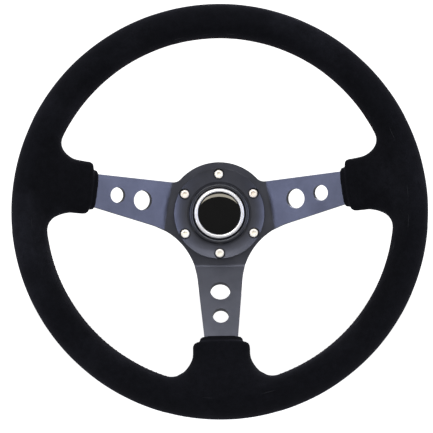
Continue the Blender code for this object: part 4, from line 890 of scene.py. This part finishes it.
def stub_sections(left_side, right_side):
    thick = STUB_HALF_THICK
    sections = []
    for step, drop in ((0.0, STUB_EDGE), (0.3 * STUB_EDGE, 0.3 * STUB_EDGE), (STUB_EDGE, 0.0)):
        out = STUB_END + step
        wide = (stub_edge(out, left_side) - drop, stub_edge(out, right_side) - drop)
        sections.append((out, *wide, thick - drop))
    for k in range(1, 19):
        out = STUB_END + STUB_EDGE + (149 * MM - STUB_END - STUB_EDGE) * k / 18
        grown = thick + 3.8 * MM * (k / 18) ** 2
        sections.append((out, stub_edge(out, left_side), stub_edge(out, right_side), grown))
    _, left, right, grown = sections[-1]
    sections.append((RIM_RADIUS, left, right, grown))
    return sections


def fillet_reach(angle):
    """How far in the rim's inner edge comes at an angle, with its fillets into the stubs."""
    edge = RIM_RADIUS - GRIP_WIDTH / 2
    reach_in = edge
    for spoke, sides in zip(SPOKE_ANGLES, STUB_SIDES):
        for turned, side in zip((1, -1), sides):
            fillet = side[2]
            centre = edge - fillet
            out, aside = fillet_centre(side)
            swing = (angle - spoke) * turned
            swing = (swing + math.pi) % TURN - math.pi
            away = math.atan2(aside, out) - swing
            if 0 < away < math.atan2(aside, out) and swing > 0:
                across = min(centre * math.sin(away), fillet)
                reach_in = min(reach_in, centre * math.cos(away) + math.sqrt(fillet**2 - across**2))
    return reach_in


def cuff_sections(half_width):
    thick = 7.5 * MM
    small, wide = half_width - 0.8 * MM, half_width
    return [
        (CUFF_END, small, small, thick - 0.8 * MM),
        (CUFF_END + 0.8 * MM, wide, wide, thick),
        (STUB_END + 5 * MM, wide, wide, thick),
    ]


def skin():
    """One body of the ring, the stubs and the cuffs."""
    whole = bmesh.new()
    section = bmesh.ops.create_circle(whole, segments=64, radius=1.0)["verts"]
    shape = Matrix.Translation((RIM_RADIUS, -RIM_STATION, 0))
    shape = shape @ Matrix.Diagonal((GRIP_WIDTH / 2, GRIP_DEPTH / 2, 1, 1))
    bmesh.ops.transform(whole, matrix=shape, verts=section)
    bmesh.ops.spin(
        whole, geom=whole.verts[:] + whole.edges[:], cent=(0, 0, 0), axis=(0, 1, 0), angle=TURN,
        steps=256, use_merge=True,
    )
    loops = []
    for k in range(720):
        angle = TURN * k / 720
        tip = fillet_reach(angle)
        extra = RIM_RADIUS - GRIP_WIDTH / 2 - tip
        sink = (RIM_RADIUS - tip) * math.tan(SLOPE) * min(extra / (8 * MM), 1.0)
        loop = []
        for _, _, turned in on_circle(48, 1):
            inward = max(-math.cos(turned), 0.0)
            out = RIM_RADIUS + math.cos(turned) * (GRIP_WIDTH / 2 - 0.4 * MM) - (extra + 0.4 * MM) * inward
            station = RIM_STATION + math.sin(turned) * (GRIP_DEPTH / 2 - 0.8 * MM) - sink * inward**1.5
            loop.append(whole.verts.new((out * math.cos(angle), -station, out * math.sin(angle))))
        loops.append(loop)
    for first, second in zip(loops, loops[1:] + loops[:1]):
        for k in range(48):
            whole.faces.new((first[k], first[k - 1], second[k - 1], second[k]))
    bmesh.ops.recalc_face_normals(whole, faces=whole.faces)
    for angle, (left_side, right_side), cuff in zip(SPOKE_ANGLES, STUB_SIDES, CUFF_HALF_WIDTHS):
        for sections in (stub_sections(left_side, right_side), cuff_sections(cuff)):
            part = lofted(sections, angle)
            mesh = bpy.data.meshes.new("part")
            part.to_mesh(mesh)
            part.free()
            whole.from_mesh(mesh)
            bpy.data.meshes.remove(mesh)
    wrap = to_object(whole, "wrap")
    melt = wrap.modifiers.new("melt", "REMESH")
    melt.mode = "VOXEL"
    melt.voxel_size = 1.3 * MM
    applied(wrap)
    return wrap


# %% Smooth the creases and let the hide vary
def beside_spoke(point):
    """(radius along the nearest spoke, distance aside of it)."""
    best = (0.0, 1.0)
    for angle in SPOKE_ANGLES:
        out = point.x * math.cos(angle) + point.z * math.sin(angle)
        aside = abs(point.z * math.cos(angle) - point.x * math.sin(angle))
        if out > 0 and aside < best[1]:
            best = (out, aside)
    return best


def settle(wrap):
    shaped = bmesh.new()
    shaped.from_mesh(wrap.data)
    near = [vert for vert in shaped.verts if beside_spoke(vert.co)[1] < 48 * MM]
    creases = [vert for vert in near if beside_spoke(vert.co)[0] > STUB_END + 4 * MM]
    for _ in range(3):
        bmesh.ops.smooth_vert(
            shaped, verts=shaped.verts, factor=0.5, use_axis_x=True, use_axis_y=True, use_axis_z=True
        )
    for _ in range(14):
        bmesh.ops.smooth_vert(
            shaped, verts=creases, factor=0.5, use_axis_x=True, use_axis_y=True, use_axis_z=True
        )
    shaped.normal_update()
    for vert in shaped.verts:
        wander = noise.fractal(vert.co / 0.03, 1.0, 2.0, 2)
        vert.co += vert.normal * wander * 0.12 * MM
    shaped.to_mesh(wrap.data)
    shaped.free()


wrap = skin()
settle(wrap)
hand_over(wrap, "suede_wrap", "wheel", "black_suede", "suede_cover", 180)

# %% [markdown]
# The hide is closed by a hand-sewn seam along the inner side of the rim, where the fingertips
# don't rub it. Each stitch is a short slanted bar of dark red thread, sunk at both ends, and one
# small body is copied along the seam between the stubs.

# %% Seam stitches
STITCH_PITCH = 4.2 * MM
STITCH_LENGTH = 3.4 * MM
THREAD_RADIUS = 0.35 * MM
SEAM_RADIUS = RIM_RADIUS - GRIP_WIDTH / 2 + 0.1 * MM


def stitch_loops(shaped, angle):
    """One stitch: a bent tube of five rings across the seam."""
    lean = 0.5
    rings = []
    for step in range(5):
        share = step / 4 - 0.5
        sunk = (2 * share) ** 2 * 0.7 * MM
        out = SEAM_RADIUS - THREAD_RADIUS * 0.6 + sunk
        turned = angle + share * STITCH_LENGTH * lean / SEAM_RADIUS
        station = RIM_STATION + share * STITCH_LENGTH
        outward = Vector((math.cos(turned), 0, math.sin(turned)))
        sideways = Vector((-outward.z, 0, outward.x))
        centre = outward * out - Vector((0, station, 0))
        ring = []
        for _, _, a in on_circle(6, 1):
            ring.append(shaped.verts.new(centre + (outward * math.cos(a) + sideways * math.sin(a)) * THREAD_RADIUS))
        rings.append(ring)
    for first, second in zip(rings, rings[1:]):
        for k in range(6):
            shaped.faces.new((first[k - 1], first[k], second[k], second[k - 1]))
    shaped.faces.new(rings[0])
    shaped.faces.new(rings[-1][::-1])


def seam():
    shaped = bmesh.new()
    count = round(TURN * SEAM_RADIUS / STITCH_PITCH)
    for k in range(count):
        angle = TURN * k / count
        if fillet_reach(angle) > RIM_RADIUS - GRIP_WIDTH / 2 - 0.05 * MM:
            where = Vector((math.cos(angle), 0, math.sin(angle))) * SEAM_RADIUS
            out, aside = beside_spoke(where)
            if aside > 40 * MM:
                stitch_loops(shaped, angle)
    bmesh.ops.recalc_face_normals(shaped, faces=shaped.faces)
    return to_object(shaped, "seam")


hand_over(seam(), "seam_stitches", "wheel", "thread", None, 180)

# %% [markdown]
# ## Studio
# A pale floor and a white shell stand round the wheel. Neither is seen in the metal, so that the
# gloss comes from the lamps alone: two large soft panels in front, one on each side, and a bar
# above whose reflection is the band of light on the dome. The room itself is a dim even grey.


# %% Floor, surround and light
def white_stage(name, shaped, glow):
    stage = to_object(shaped, name)
    material, tree, shader, place = begin(name, "f4f4f4", 0.9)
    shader.inputs["Emission Color"].default_value = (1, 1, 1, 1)
    shader.inputs["Emission Strength"].default_value = glow
    stage.data.materials.append(material)
    stage.visible_glossy = False
    stage.visible_diffuse = False
    stage.visible_shadow = False


def softbox(name, place, target, size, power, colour):
    light = bpy.data.lights.new(name, "AREA")
    light.shape = "RECTANGLE"
    light.size, light.size_y = size
    light.energy = power
    light.color = linear(colour)[:3]
    lamp = bpy.data.objects.new(name, light)
    lamp.location = place
    lamp.rotation_euler = (Vector(target) - Vector(place)).to_track_quat("-Z", "Y").to_euler()
    bpy.context.scene.collection.objects.link(lamp)
    return lamp


floor = bmesh.new()
bmesh.ops.create_circle(floor, cap_ends=True, segments=96, radius=7.9)
bmesh.ops.translate(floor, verts=floor.verts, vec=(0, 0, -0.42))
white_stage("studio_floor", floor, 0.75)
shell = bmesh.new()
bmesh.ops.create_uvsphere(shell, u_segments=48, v_segments=24, radius=8)
white_stage("white_surround", shell, 1.0)
HUB = (0, -0.07, 0)
room_lamps = [
    softbox("panel_right", (0.95, -0.62, 0.1), HUB, (0.6, 0.9), 5, "ccd6ff"),
    softbox("panel_left", (-0.95, -0.62, 0.1), HUB, (0.5, 0.9), 4.6, "ccd6ff"),
    softbox("panel_behind", (0.35, 0.9, 0.9), HUB, (0.8, 0.8), 7, "f2f4ff"),
    softbox("bar_above", (0.0, -0.95, 0.88), HUB, (1.5, 0.18), 4.2, "eceef6"),
]
dome_lamp = softbox("bar_for_dome", (0.0, -0.95, 0.88), HUB, (2.8, 0.3), 45, "fbf3e0")
bright_lamp = softbox("fill_for_bright_metal", (-0.2, -1.1, 0.5), HUB, (0.5, 0.5), 8, "fff8ee")


def linked(lamp, pieces, state):
    """Let a lamp light some pieces alone, or everything but them."""
    group = bpy.data.collections.new(lamp.name + "_pieces")
    for number, piece in enumerate(pieces):
        group.objects.link(piece)
        group.collection_objects[number].light_linking.link_state = state
    lamp.light_linking.receiver_collection = group


linked(dome_lamp, [dome], "INCLUDE")
linked(bright_lamp, [trim, *screws], "INCLUDE")
for lamp in room_lamps:
    linked(lamp, [dome], "EXCLUDE")
world = bpy.data.worlds.new("dim_room")
world.use_nodes = True
world.node_tree.nodes["Background"].inputs["Color"].default_value = (1, 1, 1, 1)
world.node_tree.nodes["Background"].inputs["Strength"].default_value = 0.35
bpy.context.scene.world = world
bpy.context.scene.view_settings.view_transform = "Standard"

# %% Camera
CAMERA_PLACE = Vector((-0.0082, -0.7069, -0.0467))
lens = bpy.data.cameras.new("driver_view")
lens.lens = 57.8
lens.sensor_width = 36
lens.clip_start = 0.01
camera = bpy.data.objects.new("driver_view", lens)
pitch, yaw, roll = math.radians(3.886), math.radians(-0.494), math.radians(-0.697)
aim = Matrix.Rotation(yaw, 4, "Z") @ Matrix.Rotation(TURN / 4 + pitch, 4, "X") @ Matrix.Rotation(roll, 4, "Z")
camera.matrix_world = Matrix.Translation(CAMERA_PLACE) @ aim
bpy.context.scene.collection.objects.link(camera)
bpy.context.scene.camera = camera
